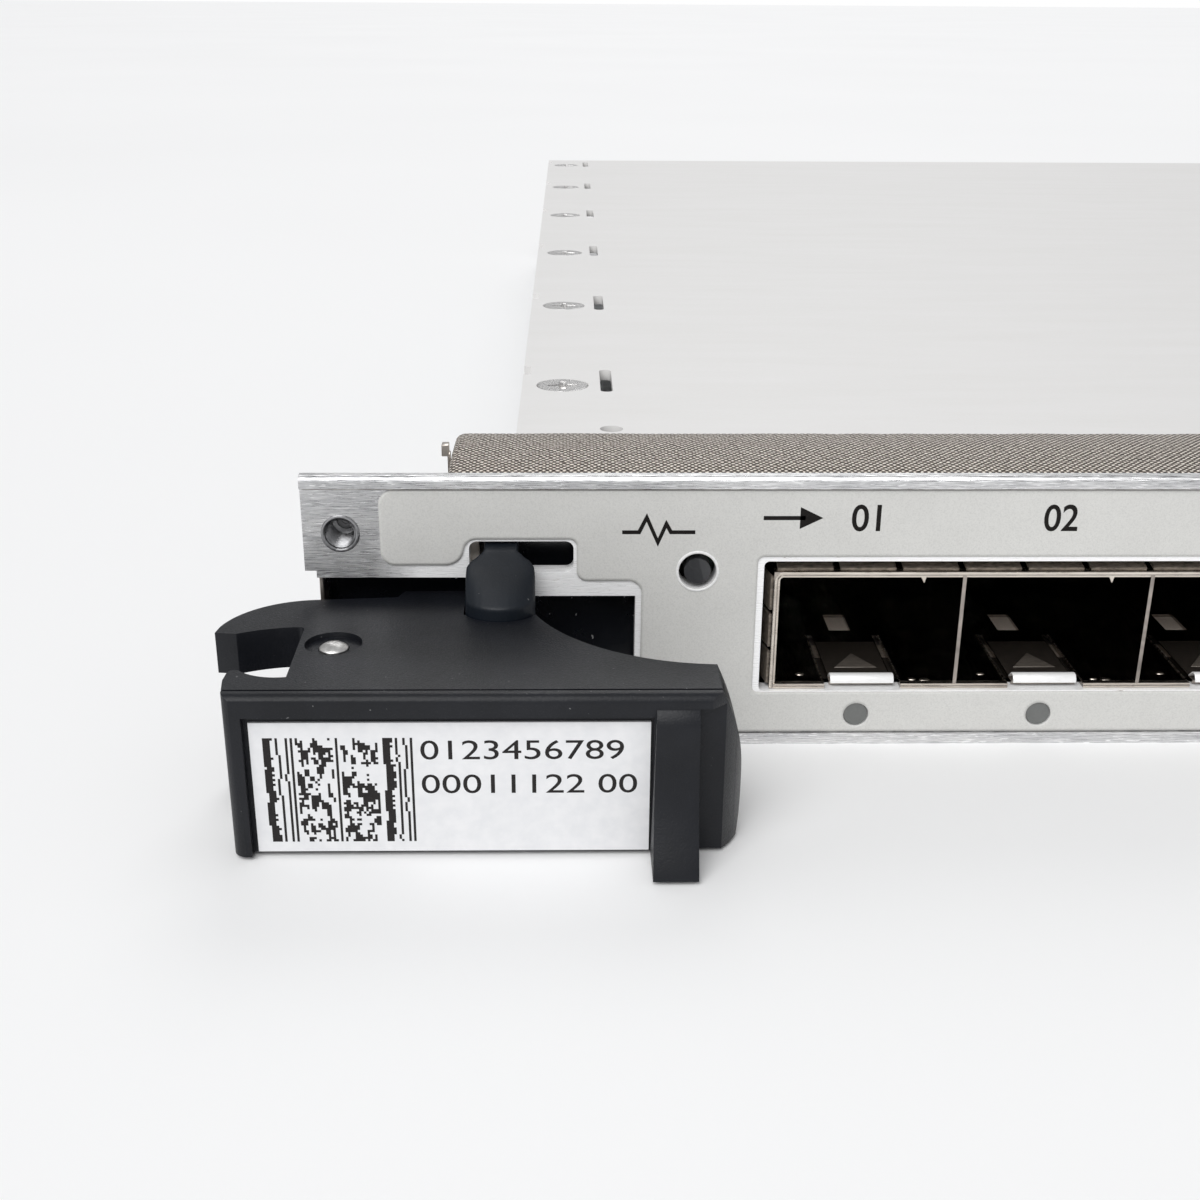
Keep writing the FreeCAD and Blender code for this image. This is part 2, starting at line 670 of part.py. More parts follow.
# ------------------------------------------------------------------ indicator lamps
lamp_x, lamp_z = STATUS_LAMP
LAMP_REACH = 16.0
status_pipe = fuse([rod(lamp_x, "0 - 0.05", lamp_z, "status_rad", LAMP_REACH, "y"),
                    rod(lamp_x, LAMP_REACH - 0.05, BOARD_TOP + 0.9, "status_rad",
                        lamp_z - BOARD_TOP - 0.9)])
finish(status_pipe, "status_light_pipe")
port_pipes, leds = [], []
for x in lamp_positions():
    port_pipes.append(rod(x, 0, PORT_LAMP_UP, "lamp_rad", 10.0, "y"))
    leds.append(box(x - 0.8, x + 0.8, 10.8, 12.4, "board_low - 0.8", "board_low"))
leds.append(box(lamp_x - 0.8, lamp_x + 0.8, LAMP_REACH - 0.85, LAMP_REACH + 0.75,
                BOARD_TOP, BOARD_TOP + 0.8))
finish(group(port_pipes), "port_light_pipes")
finish(group(leds), "indicator_leds")

# ---------------------------------------------------------------- chips and cooling
ASIC = (95.0, 92.0, 35.0, 2.4)               # middle x, middle y, side, height
asic_x, asic_y, asic_side, asic_tall = ASIC


def chip(x, y, wide, deep, tall, low=None):
    """A flat chip package with its lower body narrower than its lid."""
    low = BOARD_TOP if low is None else low
    base_part = box(x - wide / 2, x + wide / 2, y - deep / 2, y + deep / 2, low, low + tall * 0.6)
    lid_part = box(x - wide / 2 + 1, x + wide / 2 - 1, y - deep / 2 + 1, y + deep / 2 - 1,
                   low + tall * 0.6, low + tall)
    return fuse([base_part, lid_part])


finish(chip(asic_x, asic_y, asic_side, asic_side, asic_tall), "framer_processor")
PAD_LOW = BOARD_TOP + asic_tall
finish(group([box(asic_x - 14, asic_x + 14, asic_y - 14, asic_y + 14, PAD_LOW, PAD_LOW + 0.5)]),
       "thermal_pad")
SINK_LOW = PAD_LOW + 0.5
SINK_HALF = 26.0
SINK_TOP = 18.2
fins = [box(asic_x - SINK_HALF, asic_x + SINK_HALF, asic_y - SINK_HALF, asic_y + SINK_HALF,
            SINK_LOW, SINK_LOW + 2.5)]
for n in range(16):
    x = asic_x - SINK_HALF + 3.4 * n
    fins.append(box(x, x + 1.0, asic_y - SINK_HALF, asic_y + SINK_HALF, SINK_LOW + 2.0, SINK_TOP))
SINK_SCREWS = [(asic_x + sx * 22.3, asic_y + sy * 22.3) for sx in (-1, 1) for sy in (-1, 1)]
clearance = []
for x, y in SINK_SCREWS:
    clearance.append(rod(x, y, SINK_LOW - 1, 1.5, 4))
    clearance.append(rod(x, y, SINK_LOW + 2.5, 3.2, 12))
finish(cut(fuse(fins), clearance), "heat_sink")
sink_screws = []
for x, y in SINK_SCREWS:
    sink_screws.append(cut(fuse([rod(x, y, BOARD_TOP, 1.4, SINK_LOW + 2.5 - BOARD_TOP),
                                 rod(x, y, SINK_LOW + 2.5, 2.6, 2.0)]),
                           cross_recess(x, y, SINK_LOW + 4.5, 1.4, 0.35, 1.0)))
finish(group(sink_screws), "heat_sink_screws")

finish(chip(60.0, 92.0, 23.0, 23.0, 2.2), "timing_processor")
memories = [chip(x, y, 10.0, 13.0, 1.2) for x in (131.0, 144.0) for y in (72.0, 88.0, 104.0)]
finish(group(memories), "memory_chips")

POWER = (133.0, 170.0, 58.4, 36.8)
px, py, long_side, short_side = POWER
brick = fuse([box(px - short_side / 2, px + short_side / 2, py - long_side / 2, py + long_side / 2,
                  BOARD_TOP + 1.2, BOARD_TOP + 2.8),
              box(px - 14, px + 14, py - 20, py + 20, BOARD_TOP + 2.0, BOARD_TOP + 12.2)]
             + [rod(px + sx * 15.2, py + sy * 25.0, BOARD_TOP, 0.9, 4.5)
                for sx in (-1, 1) for sy in (-1, 1)])
finish(brick, "power_converter")
coils = []
for n in range(3):
    x = 50.0 + 13.5 * n
    coils.append(cut(box(x - 5, x + 5, 128.0, 138.0, BOARD_TOP, BOARD_TOP + 5.5),
                     [rod(x, 133.0, BOARD_TOP + 4.7, 3.0, 2)]))
finish(group(coils), "power_inductors")
cans = []
for n in range(5):
    cans.append(fuse([rod(46.0 + 11.5 * n, 160.0, BOARD_TOP, 4.0, 9.8),
                      box(41.8 + 11.5 * n, 50.2 + 11.5 * n, 155.8, 164.2, BOARD_TOP, BOARD_TOP + 1.2)]))
finish(group(cans), "bulk_capacitors")

# ------------------------------------------------------------------ rear connectors
REAR = size("rear_reach")


def rear_block(x0, x1, z1, columns, rows, hole):
    """A right-angle backplane connector with a grid of contact holes in its rear."""
    block = box(x0, x1, 208.0, REAR, BOARD_TOP, z1)
    gap_x = (x1 - x0 - 3.0) / columns
    gap_z = (z1 - BOARD_TOP - 2.4) / rows
    holes = []
    for column in range(columns):
        for row in range(rows):
            x = x0 + 1.5 + gap_x * (column + 0.5)
            z = BOARD_TOP + 1.2 + gap_z * (row + 0.5)
            holes.append(box(x - hole / 2, x + hole / 2, REAR - 5, REAR + 1, z - hole / 2, z + hole / 2))
    return cut(block, holes)


finish(rear_block(48.0, 88.0, 17.0, 16, 5, 0.9), "backplane_connector")
finish(rear_block(112.0, 136.0, 15.0, 5, 2, 2.4), "power_connector")
GUIDE_X = 40.5
guides = []
for x in (GUIDE_X, flip(GUIDE_X)):
    guides.append(cut(box(x - 4.5, x + 4.5, 212.0, REAR, BOARD_TOP, 15.5),
                      [rod(x, REAR - 14, 10.2, 2.6, 15, "y")]))
finish(group(guides), "guide_sockets")

# ------------------------------------------------- handle, hinge, latch (left end)
PX, PY = size("pivot_across"), -size("pivot_out")
LOW, TOP = size("handle_low"), size("handle_top")
CLAW = size("claw_plate")
FRONT = -size("grip_front")
TONGUE = (0.95, 10.4)           # the bracket's tongue, between the handle's plates
GAP_LOW = LOW + CLAW
GAP_TOP = TOP - CLAW
BARREL_X, BARREL_Z, BARREL_R = 12.2, 4.0, 19.25

# The handle seen from above: a claw round the pivot at the left, a curved neck,
# and a straight grip across the front.
handle_plan = [
    (-5.45, -6.5), (-5.3, -5.4), ((-3.65, -2.38), (0.72, -0.31)), (6.76, 0.2), (7.17, 1.4),
    (16.4, 1.55), (17.1, -3.1), ((21.6, -9.1), (29.2, -12.0)), (31.5, -12.2), (31.5, -12.7),
    ((30.55, -15.3), (28.9, FRONT)), (-2.1, FRONT), ((-2.75, -16.7), (-3.0, -16.0)),
    (-3.25, -14.4), (-3.2, -13.2), ((-2.9, -12.8), (-2.4, -12.95)), ((-1.0, -13.8), (0.85, -13.9)),
    (0.75, -6.1), ((0.6, -5.6), (0.2, -5.5)), ((-2.0, -5.9), (-3.9, -6.7)),
]

handle = new_body("handle_moulding")
plan = sketch_on(handle, "XY_Plane", LOW)
draw(plan, handle_plan)
pad(handle, plan, "handle_top - handle_low")
doc.recompute()
# The space between the two plates, where the bracket's tongue stands.
gap = sketch_on(handle, "XZ_Plane", 13.3)
rectangle(gap, -8, 11.2, "handle_low + claw_plate", "handle_top - claw_plate")
pocket(handle, gap, "13.3 + 6", backwards=False)
# The barrel-shaped end of the grip.
barrel = sketch_on(handle, "XZ_Plane", 20)
right = BARREL_X + BARREL_R
swing = [(BARREL_X + math.sqrt(BARREL_R ** 2 - (z - BARREL_Z) ** 2), z) for z in (-2.0, BARREL_Z, 14.0)]
draw(barrel, [swing[0], (swing[1], swing[2]), (34.0, 14.0), (34.0, -2.0)])
pocket(handle, barrel, "30", backwards=False)
# Pin hole through both plates, and the recess round its head.
pin_hole = sketch_on(handle, "XY_Plane", TOP)
circle(pin_hole, "pivot_across", "0 - pivot_out", "pin_rad + pin_play")
pocket(handle, pin_hole, "handle_top")
pin_well = sketch_on(handle, "XY_Plane", TOP)
circle(pin_well, "pivot_across", "0 - pivot_out", "pin_recess")
pocket(handle, pin_well, "0.4")
# Recess for the label, and a thin groove along the top of the grip.
LABEL = (-1.35, 24.95, 0.45, 10.1)
label_well = sketch_on(handle, "XZ_Plane", -FRONT)
rectangle(label_well, LABEL[0] - 0.35, LABEL[1] + 0.2, -1, 10.65)
pocket(handle, label_well, "0.7", backwards=False)
END_LEDGE = 11.25            # the grip's end is set back below this ledge
end_step = sketch_on(handle, "XZ_Plane", -FRONT)
rectangle(end_step, 28.1, 33.0, -1, END_LEDGE)
pocket(handle, end_step, "0.9", backwards=False)
groove = sketch_on(handle, "XY_Plane", TOP)
rectangle(groove, -4, 33, FRONT + 0.95, FRONT + 1.15)
pocket(handle, groove, "0.15")
# Wells for the latch: its head, its stem and the spring below.
HEAD = (12.0, 17.1, -4.55, -0.5)
STEM = (12.9, 16.1, -3.3, -0.9)
PLAY = 0.12
HEAD_LOW = 11.0
STEM_LOW = 7.6
WELL_LOW = HEAD_LOW - size("latch_travel") - 0.1
SPRING_X = (STEM[0] + STEM[1]) / 2
SPRING_Y = (STEM[2] + STEM[3]) / 2
SPRING_LOW = 3.6
HEAD_SIDE = -3.0             # where the head's straight sides meet its curved front
head_plan = [(13.3, HEAD[3]), (HEAD[0], -1.7), (HEAD[0], HEAD_SIDE),
             ((14.55, HEAD[2]), (HEAD[1], HEAD_SIDE)), (HEAD[1], -1.7), (15.8, HEAD[3])]
head_well = sketch_on(handle, "XY_Plane", TOP)
draw(head_well, [(HEAD[0] - PLAY, 2.0), (HEAD[0] - PLAY, HEAD_SIDE - PLAY),
                 ((14.55, HEAD[2] - PLAY), (HEAD[1] + PLAY, HEAD_SIDE - PLAY)),
                 (HEAD[1] + PLAY, 2.0)])
pocket(handle, head_well, str(TOP - WELL_LOW))
stem_well = sketch_on(handle, "XY_Plane", TOP)
rectangle(stem_well, STEM[0] - PLAY, STEM[1] + PLAY, STEM[2] - PLAY, STEM[3] + PLAY)
pocket(handle, stem_well, str(TOP - SPRING_LOW))


def thumb_lip():
    """The flared lip a finger pulls: flush above, scooped, standing out below."""
    rear, left_side, right_side = FRONT + 1.2, 25.28, 28.1
    outermost = size("lip_front") - size("grip_front")
    # height and how far the lip stands out there
    steps = [(11.2, 0.02), (10.8, 0.35), (10.1, 0.60), (9.0, 0.62), (7.4, 0.78), (5.6, 1.12),
             (3.8, 1.70), (2.0, 2.60), (1.0, 3.05), (LOW, outermost)]
    wires = []
    for height, out in steps:
        inner = left_side - 0.02 * (11.2 - height)
        points = [V(x, y, height) for x, y in
                  ((inner, rear), (inner, FRONT - out), (right_side, FRONT - out), (right_side, rear))]
        wires.append(Part.makePolygon(points + points[:1]))
    return Part.makeLoft(wires, True, True)


doc.recompute()
grip = doc.addObject("Part::Feature", "thumb_lip")
grip.Shape = thumb_lip()
whole = fuse([handle, grip])
doc.recompute()
if len(whole.Shape.Solids) != 1:
    raise RuntimeError("the handle is not one solid")


def edge_waste(y, z, radius, x0, x1):
    """What rounding an edge takes away: a square rod less a round one, along X."""
    corner = Part.makeBox(x1 - x0, radius + 1, radius + 1, V(x0, y - 1, z - radius))
    keep = Part.makeCylinder(radius, x1 - x0, V(x0, y + radius, z - radius), V(1, 0, 0))
    block = Part.makeBox(x1 - x0, radius + 1, radius + 1, V(x0, y + radius, z - radius))
    return corner.cut([keep, block])


whole = cut(whole, [shape_piece(edge_waste(FRONT, TOP, 0.6, -6, 34))])
left_handle = finish(whole, "left_handle")

left_label = finish(group([box(LABEL[0], LABEL[1], FRONT + 0.5, FRONT + 0.7,
                               LABEL[2], LABEL[3])]), "left_handle_label")


def hinge_pin():
    """A plain pin with a domed top that shows in the handle's recess."""
    radius = size("pin_rad")
    low, high = LOW + 0.2, TOP - 0.3
    shaft = Part.makeCylinder(radius, high - low, V(PX, PY, low))
    ball_radius = 1.6
    rise = ball_radius - math.sqrt(ball_radius ** 2 - radius ** 2)
    dome = Part.makeSphere(ball_radius, V(PX, PY, high + rise - ball_radius))
    cap = dome.common(Part.makeCylinder(radius, rise + 0.1, V(PX, PY, high)))
    return shaft.fuse(cap).removeSplitter()


left_pin = finish(shape_piece(hinge_pin()), "left_hinge_pin")

# Bracket: a tongue between the handle's plates, a plate closing the window from
# behind and a foot screwed to the tray.
PLATE = (3.9, 5.4)
TONGUE_END = 2.25
tongue_low, tongue_high = GAP_LOW + 0.15, GAP_TOP - 0.15
tongue_plan = [(PX - TONGUE_END, PLATE[0] + 0.5), (PX - TONGUE_END, PY),
               ((PX, PY - TONGUE_END), (PX + TONGUE_END, PY)), (PX + TONGUE_END, -5.0),
               (TONGUE[1], -1.0), (TONGUE[1], PLATE[0] + 0.5)]
bracket_shape = prism(tongue_plan, tongue_low, tongue_high)
bracket_shape = bracket_shape.fuse([
    Part.makeBox(24.4, PLATE[1] - PLATE[0], 17.0, V(PX - TONGUE_END, PLATE[0], size("steel") + 0.05)),
    Part.makeBox(7.6, 12.6, 1.5, V(17.4, PLATE[1] - 0.2, size("steel"))),
])
bracket_shape = bracket_shape.cut(Part.makeCylinder(size("pin_rad"), 12, V(PX, PY, 0)))
FOOT_SCREWS = [(21.2, 9.0), (21.2, 14.6)]
for x, y in FOOT_SCREWS:
    bracket_shape = bracket_shape.cut(Part.makeCylinder(1.3, 5, V(x, y, 0)))
left_bracket = finish(shape_piece(bracket_shape), "left_handle_bracket")

bracket_screws = []
for x, y in FOOT_SCREWS + [(flip(x), y) for x, y in FOOT_SCREWS]:
    bracket_screws.append(cut(fuse([rod(x, y, "steel", 1.3, 1.6), rod(x, y, 2.5, 2.2, 1.4)]),
                              cross_recess(x, y, 3.9, 1.3, 0.3, 0.8)))
finish(group(bracket_screws), "bracket_screws")

# Bright sheet liner just inside the window's upper and left edges.
LINER = 0.3
LINER_TOP = WINDOW_TOP - 0.02
LINER_FRONT = 0.9
liner = fuse([
    box(NOTCH, WINDOW_STEP_X - 0.05, LINER_FRONT, PLATE[0], LINER_TOP - LINER, LINER_TOP),
    box(NOTCH, NOTCH + LINER, LINER_FRONT, PLATE[0], GAP_TOP, LINER_TOP),
])
left_liner = finish(liner, "left_window_liner")


def latch():
    """The press-down latch: sloped head, neck through the panel's slot, and stem."""
    blank = prism(head_plan, HEAD_LOW, 16.4)
    # the head's top slopes up towards the panel and is rounded over at the front
    keep = Part.Face(Part.Wire([
        Part.LineSegment(V(11, -6, 10), V(11, -6, 12.2)).toShape(),
        Part.LineSegment(V(11, -6, 12.2), V(11, -4.45, 12.85)).toShape(),
        Part.Arc(V(11, -4.45, 12.85), V(11, -2.45, 14.8), V(11, -0.5, 16.3)).toShape(),
        Part.LineSegment(V(11, -0.5, 16.3), V(11, 1, 16.3)).toShape(),
        Part.LineSegment(V(11, 1, 16.3), V(11, 1, 10)).toShape(),
        Part.LineSegment(V(11, 1, 10), V(11, -6, 10)).toShape()])).extrude(V(8, 0, 0))
    head = blank.common(keep)
    neck_path = [(-1.2, 14.7), (-1.2, 15.7), (-0.5, 16.3), (0.2, 16.5), (2.9, 16.5), (2.9, 15.6),
                 (-0.2, 15.6), (-0.5, 14.7)]
    neck = swept_profile(neck_path, 13.3, 15.8)
    hook = Part.makeBox(2.5, 0.9, 0.95, V(13.3, 2.0, 15.6))
    stem = Part.makeBox(STEM[1] - STEM[0], STEM[3] - STEM[2], HEAD_LOW - STEM_LOW + 0.5,
                        V(STEM[0], STEM[2], STEM_LOW))
    return head.fuse([neck, hook, stem])


left_latch = finish(shape_piece(latch()), "left_latch")


def coil_spring():
    """A compression spring: a round wire on a helix."""
    wire_radius, coil_radius = 0.17, 0.78
    low, high = SPRING_LOW + wire_radius, STEM_LOW - wire_radius
    pitch = (high - low) / 4.5
    helix = Part.makeHelix(pitch, high - low, coil_radius)
    section = Part.Wire(Part.Circle(V(coil_radius, 0, 0), V(0, 1, 0), wire_radius).toShape())
    spring = Part.Wire(helix.Edges).makePipeShell([section], True, True)
    spring.translate(V(SPRING_X, SPRING_Y, low))
    return Part.Compound([spring])


left_spring = finish(shape_piece(coil_spring()), "left_latch_spring")

doc.recompute()
for piece, label in ((left_handle, "right_handle"), (left_label, "right_handle_label"),
                     (left_pin, "right_hinge_pin"), (left_bracket, "right_handle_bracket"),
                     (left_liner, "right_window_liner"), (left_latch, "right_latch"),
                     (left_spring, "right_latch_spring")):
    mirrored(piece, label)
doc.recompute()

# ------------------------------------------------------------------- check and write
broken = [item.Label for item in doc.Objects if "Invalid" in item.State or "Error" in item.State]
for piece in nodes:
    if piece.Shape.isNull() or not piece.Shape.isValid():
        broken.append(piece.Label)
if broken:
    raise RuntimeError("failed objects: " + ", ".join(broken))
os.makedirs("parts", exist_ok=True)
for piece in nodes:
    piece.Shape.exportStep("parts/%s.step" % piece.Label)
    bounds = piece.Shape.BoundBox
    print("%-24s solids %2d  x %8.2f %8.2f  y %8.2f %8.2f  z %6.2f %6.2f  vol %9.1f" % (
        piece.Label, len(piece.Shape.Solids), bounds.XMin, bounds.XMax, bounds.YMin,
        bounds.YMax, bounds.ZMin, bounds.ZMax, piece.Shape.Volume))
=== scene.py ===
import json
import math
import random

import bmesh
import bpy
from mathutils import Matrix, Vector


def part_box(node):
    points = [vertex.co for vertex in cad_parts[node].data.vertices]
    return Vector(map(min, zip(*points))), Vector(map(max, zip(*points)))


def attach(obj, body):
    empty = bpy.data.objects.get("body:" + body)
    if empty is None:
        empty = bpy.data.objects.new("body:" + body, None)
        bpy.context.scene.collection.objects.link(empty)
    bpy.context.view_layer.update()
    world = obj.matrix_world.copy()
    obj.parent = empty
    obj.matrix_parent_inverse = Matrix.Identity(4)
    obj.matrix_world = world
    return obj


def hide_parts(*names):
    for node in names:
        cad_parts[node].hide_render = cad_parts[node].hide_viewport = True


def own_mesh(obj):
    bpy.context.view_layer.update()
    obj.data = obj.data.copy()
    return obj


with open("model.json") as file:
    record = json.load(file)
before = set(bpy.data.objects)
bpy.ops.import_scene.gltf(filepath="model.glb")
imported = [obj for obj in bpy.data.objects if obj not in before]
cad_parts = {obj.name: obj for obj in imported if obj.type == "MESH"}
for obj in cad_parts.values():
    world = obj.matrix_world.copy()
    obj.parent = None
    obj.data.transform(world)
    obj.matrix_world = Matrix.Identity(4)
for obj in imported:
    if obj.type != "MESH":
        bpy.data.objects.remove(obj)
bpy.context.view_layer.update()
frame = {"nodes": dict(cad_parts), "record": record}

MM = 0.001

# ------------------------------------------------------------------ the card's places
# The panel's own corner: X from its left end, Y from its front face, Z from its foot.
PANEL_LOW, PANEL_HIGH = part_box("front_panel")
RAIL_PROUD = 0.3 * MM
CORNER = Vector((PANEL_LOW.x, PANEL_LOW.y + RAIL_PROUD, 0.0))
PANEL_WIDE = PANEL_HIGH.x - PANEL_LOW.x
# The ports and the faces that carry print, in millimetres from that corner.
PORT_FIRST, PORT_PITCH = 35.14, 14.25
CAGE_LOW, CAGE_TOP, CAGE_WALL, CAGE_FRONT = 4.5, 14.1, 0.28, 0.37
FILM_FACE, LABEL_FACE, INK_LIFT = -0.1, -16.5, 0.006


def at(x, y, z):
    """A point given in millimetres from the panel's left front lower corner."""
    return CORNER + Vector((x, y, z)) * MM


def flip(x):
    """The same place measured from the panel's right end, in millimetres."""
    return PANEL_WIDE / MM - x


# ------------------------------------------------------------------------ camera
camera_data = bpy.data.cameras.new("camera")
camera_data.sensor_width = 36.0
camera_data.lens = 44.99
camera = bpy.data.objects.new("camera", camera_data)
bpy.context.scene.collection.objects.link(camera)
YAW, DOWN, ROLL = (math.radians(angle) for angle in (1.2441, 22.0523, 0.3856))
look = Vector((math.sin(YAW) * math.cos(DOWN), math.cos(YAW) * math.cos(DOWN), -math.sin(DOWN)))
level = Vector((math.cos(YAW), -math.sin(YAW), 0.0))
rise = level.cross(look)
right = level * math.cos(ROLL) + rise * math.sin(ROLL)
up = rise * math.cos(ROLL) - level * math.sin(ROLL)
turn = Matrix((right, up, -look)).transposed().to_4x4()
standpoint = at(19.638, -104.316, 54.294)
camera.matrix_world = Matrix.Translation(standpoint) @ turn
camera_data.clip_start = 0.005
bpy.context.scene.camera = camera

# ------------------------------------------------------------------- colour output
bpy.context.scene.view_settings.view_transform = "Standard"
bpy.context.scene.view_settings.look = "None"


# ------------------------------------------------------------------- node helpers
class Nodes:
    """A material's node tree, with short calls for the nodes that repeat."""

    def __init__(self, name):
        self.material = bpy.data.materials.new(name)
        self.material.use_nodes = True
        self.tree = self.material.node_tree
        self.shader = self.tree.nodes["Principled BSDF"]
        self.place = self.tree.nodes.new("ShaderNodeTexCoord").outputs["Object"]

    def add(self, kind, **settings):
        node = self.tree.nodes.new("ShaderNode" + kind)
        for key, value in settings.items():
            setattr(node, key, value)
        return node

    def link(self, a, b):
        self.tree.links.new(a, b)

    def scaled(self, per_mm=(1.0, 1.0, 1.0)):
        """Object coordinates in millimetres, stretched along each axis."""
        mapping = self.add("Mapping")
        mapping.inputs["Scale"].default_value = [value / MM for value in per_mm]
        self.link(self.place, mapping.inputs["Vector"])
        return mapping.outputs["Vector"]

    def noise(self, per_mm, detail=4.0, roughness=0.5, distortion=0.0):
        """Cloudy noise with so many cycles to the millimetre along each axis."""
        vector = self.scaled(per_mm)
        node = self.add("TexNoise")
        node.inputs["Scale"].default_value = 1.0
        node.inputs["Detail"].default_value = detail
        node.inputs["Roughness"].default_value = roughness
        node.inputs["Distortion"].default_value = distortion
        self.link(vector, node.inputs["Vector"])
        return node.outputs["Fac"]

    def ramp(self, value, stops):
        """Colours or greys along a value, as (position, colour) stops."""
        node = self.add("ValToRGB")
        elements = node.color_ramp.elements
        while len(elements) < len(stops):
            elements.new(0.5)
        for element, (position, colour) in zip(elements, stops):
            element.position = position
            if not isinstance(colour, (tuple, list)):
                colour = (colour, colour, colour)
            element.color = (*colour, 1.0)
        self.link(value, node.inputs["Fac"])
        return node.outputs["Color"]

    def span(self, value, low, high, from_low=0.0, from_high=1.0):
        """A value brought from one range into another."""
        node = self.add("MapRange")
        node.inputs["From Min"].default_value = from_low
        node.inputs["From Max"].default_value = from_high
        node.inputs["To Min"].default_value = low
        node.inputs["To Max"].default_value = high
        self.link(value, node.inputs["Value"])
        return node.outputs["Result"]

    def maths(self, operation, a, b=None):
        node = self.add("Math", operation=operation)
        for socket, value in zip(node.inputs, (a, b)):
            if value is None:
                continue
            if isinstance(value, (int, float)):
                socket.default_value = value
            else:
                self.link(value, socket)
        return node.outputs[0]

    def mix(self, factor, a, b, blend="MIX"):
        node = self.add("Mix", data_type="RGBA", blend_type=blend)
        if isinstance(factor, (int, float)):
            node.inputs["Factor"].default_value = factor
        else:
            self.link(factor, node.inputs["Factor"])
        for socket, value in ((node.inputs[6], a), (node.inputs[7], b)):
            if isinstance(value, (tuple, list)):
                socket.default_value = (*value, 1.0)
            else:
                self.link(value, socket)
        return node.outputs[2]

    def bump(self, height, depth_mm):
        node = self.add("Bump")
        node.inputs["Strength"].default_value = 1.0
        node.inputs["Distance"].default_value = depth_mm * MM
        self.link(height, node.inputs["Height"])
        self.link(node.outputs["Normal"], self.shader.inputs["Normal"])

    def split(self, vector):
        node = self.add("SeparateXYZ")
        self.link(vector, node.inputs[0])
        return node.outputs

    def set(self, **values):
        """The shader's own sockets, each to a number, a colour or another node."""
        for name, value in values.items():
            socket = self.shader.inputs[name.replace("_", " ")]
            if isinstance(value, (int, float)):
                socket.default_value = value
            elif isinstance(value, tuple):
                socket.default_value = (*value, 1.0)
            else:
                self.link(value, socket)


# ---------------------------------------------------------------------- materials
def brushed_metal(name, dark, light, roughness, grain, depth=0.02):
    """Bare metal with long scratches along the axis whose grain is small."""
    n = Nodes(name)
    fine = n.noise(grain, 6.0, 0.62)
    broad = n.noise((0.08, 0.5, 0.5), 3.0)
    streaks = n.mix(0.5, n.ramp(fine, [(0.3, dark), (0.7, light)]),
                    n.ramp(broad, [(0.35, dark), (0.65, light)]))
    n.set(Base_Color=streaks, Metallic=1.0, Anisotropic=0.35,
          Roughness=n.span(fine, roughness - 0.08, roughness + 0.14, 0.3, 0.7))
    n.bump(fine, depth)
    return n.material


def tinned_sheet():
    """Bright tinned sheet, warm, with faint rolling marks and smudges."""
    n = Nodes("tinned_sheet")
    marks = n.noise((3.0, 0.25, 3.0), 5.0)
    smudge = n.noise((0.35, 0.35, 0.35), 4.0, 0.6, 0.6)
    colour = n.mix(n.span(smudge, 0.0, 1.0, 0.35, 0.7), (0.80, 0.74, 0.68), (0.55, 0.49, 0.43))
    n.set(Base_Color=colour, Metallic=1.0, Roughness=n.span(smudge, 0.22, 0.42, 0.3, 0.7))
    n.bump(marks, 0.01)
    return n.material


def cage_sheet_painted_shade():
    """The cages' polished sheet: nearly a mirror, its tin tone darkened as painted shade for the
    inside of the cage, with light scratches and stains.
    """
    n = Nodes("cage_sheet_painted_shade")
    scratch = n.noise((4.0, 0.3, 4.0), 6.0, 0.7)
    stain = n.noise((0.5, 0.5, 0.5), 4.0, 0.6, 0.8)
    # Both tones are darker than the tinned sheet: painted shade inside the cage.
    colour = n.mix(n.span(stain, 0.0, 1.0, 0.35, 0.65), (0.46, 0.41, 0.37), (0.26, 0.235, 0.215))
    n.set(Base_Color=colour, Metallic=1.0, Roughness=n.span(scratch, 0.06, 0.20, 0.35, 0.7))
    n.bump(scratch, 0.006)
    return n.material


def scuffed_metal_painted_light(name, dark, light, metallic):
    """Metal that scatters light as well as mirroring it, with scuffs; the colours it is given carry
    painted light: painted shade on the dark pieces, a painted reflection on the bright tongue bars.
    """
    n = Nodes(name)
    scuff = n.noise((1.6, 4.0, 4.0), 5.0, 0.7, 0.4)
    n.set(Base_Color=n.ramp(scuff, [(0.34, dark), (0.68, light)]), Metallic=metallic,
          Roughness=n.span(scuff, 0.30, 0.48, 0.3, 0.7))
    n.bump(scuff, 0.015)
    return n.material


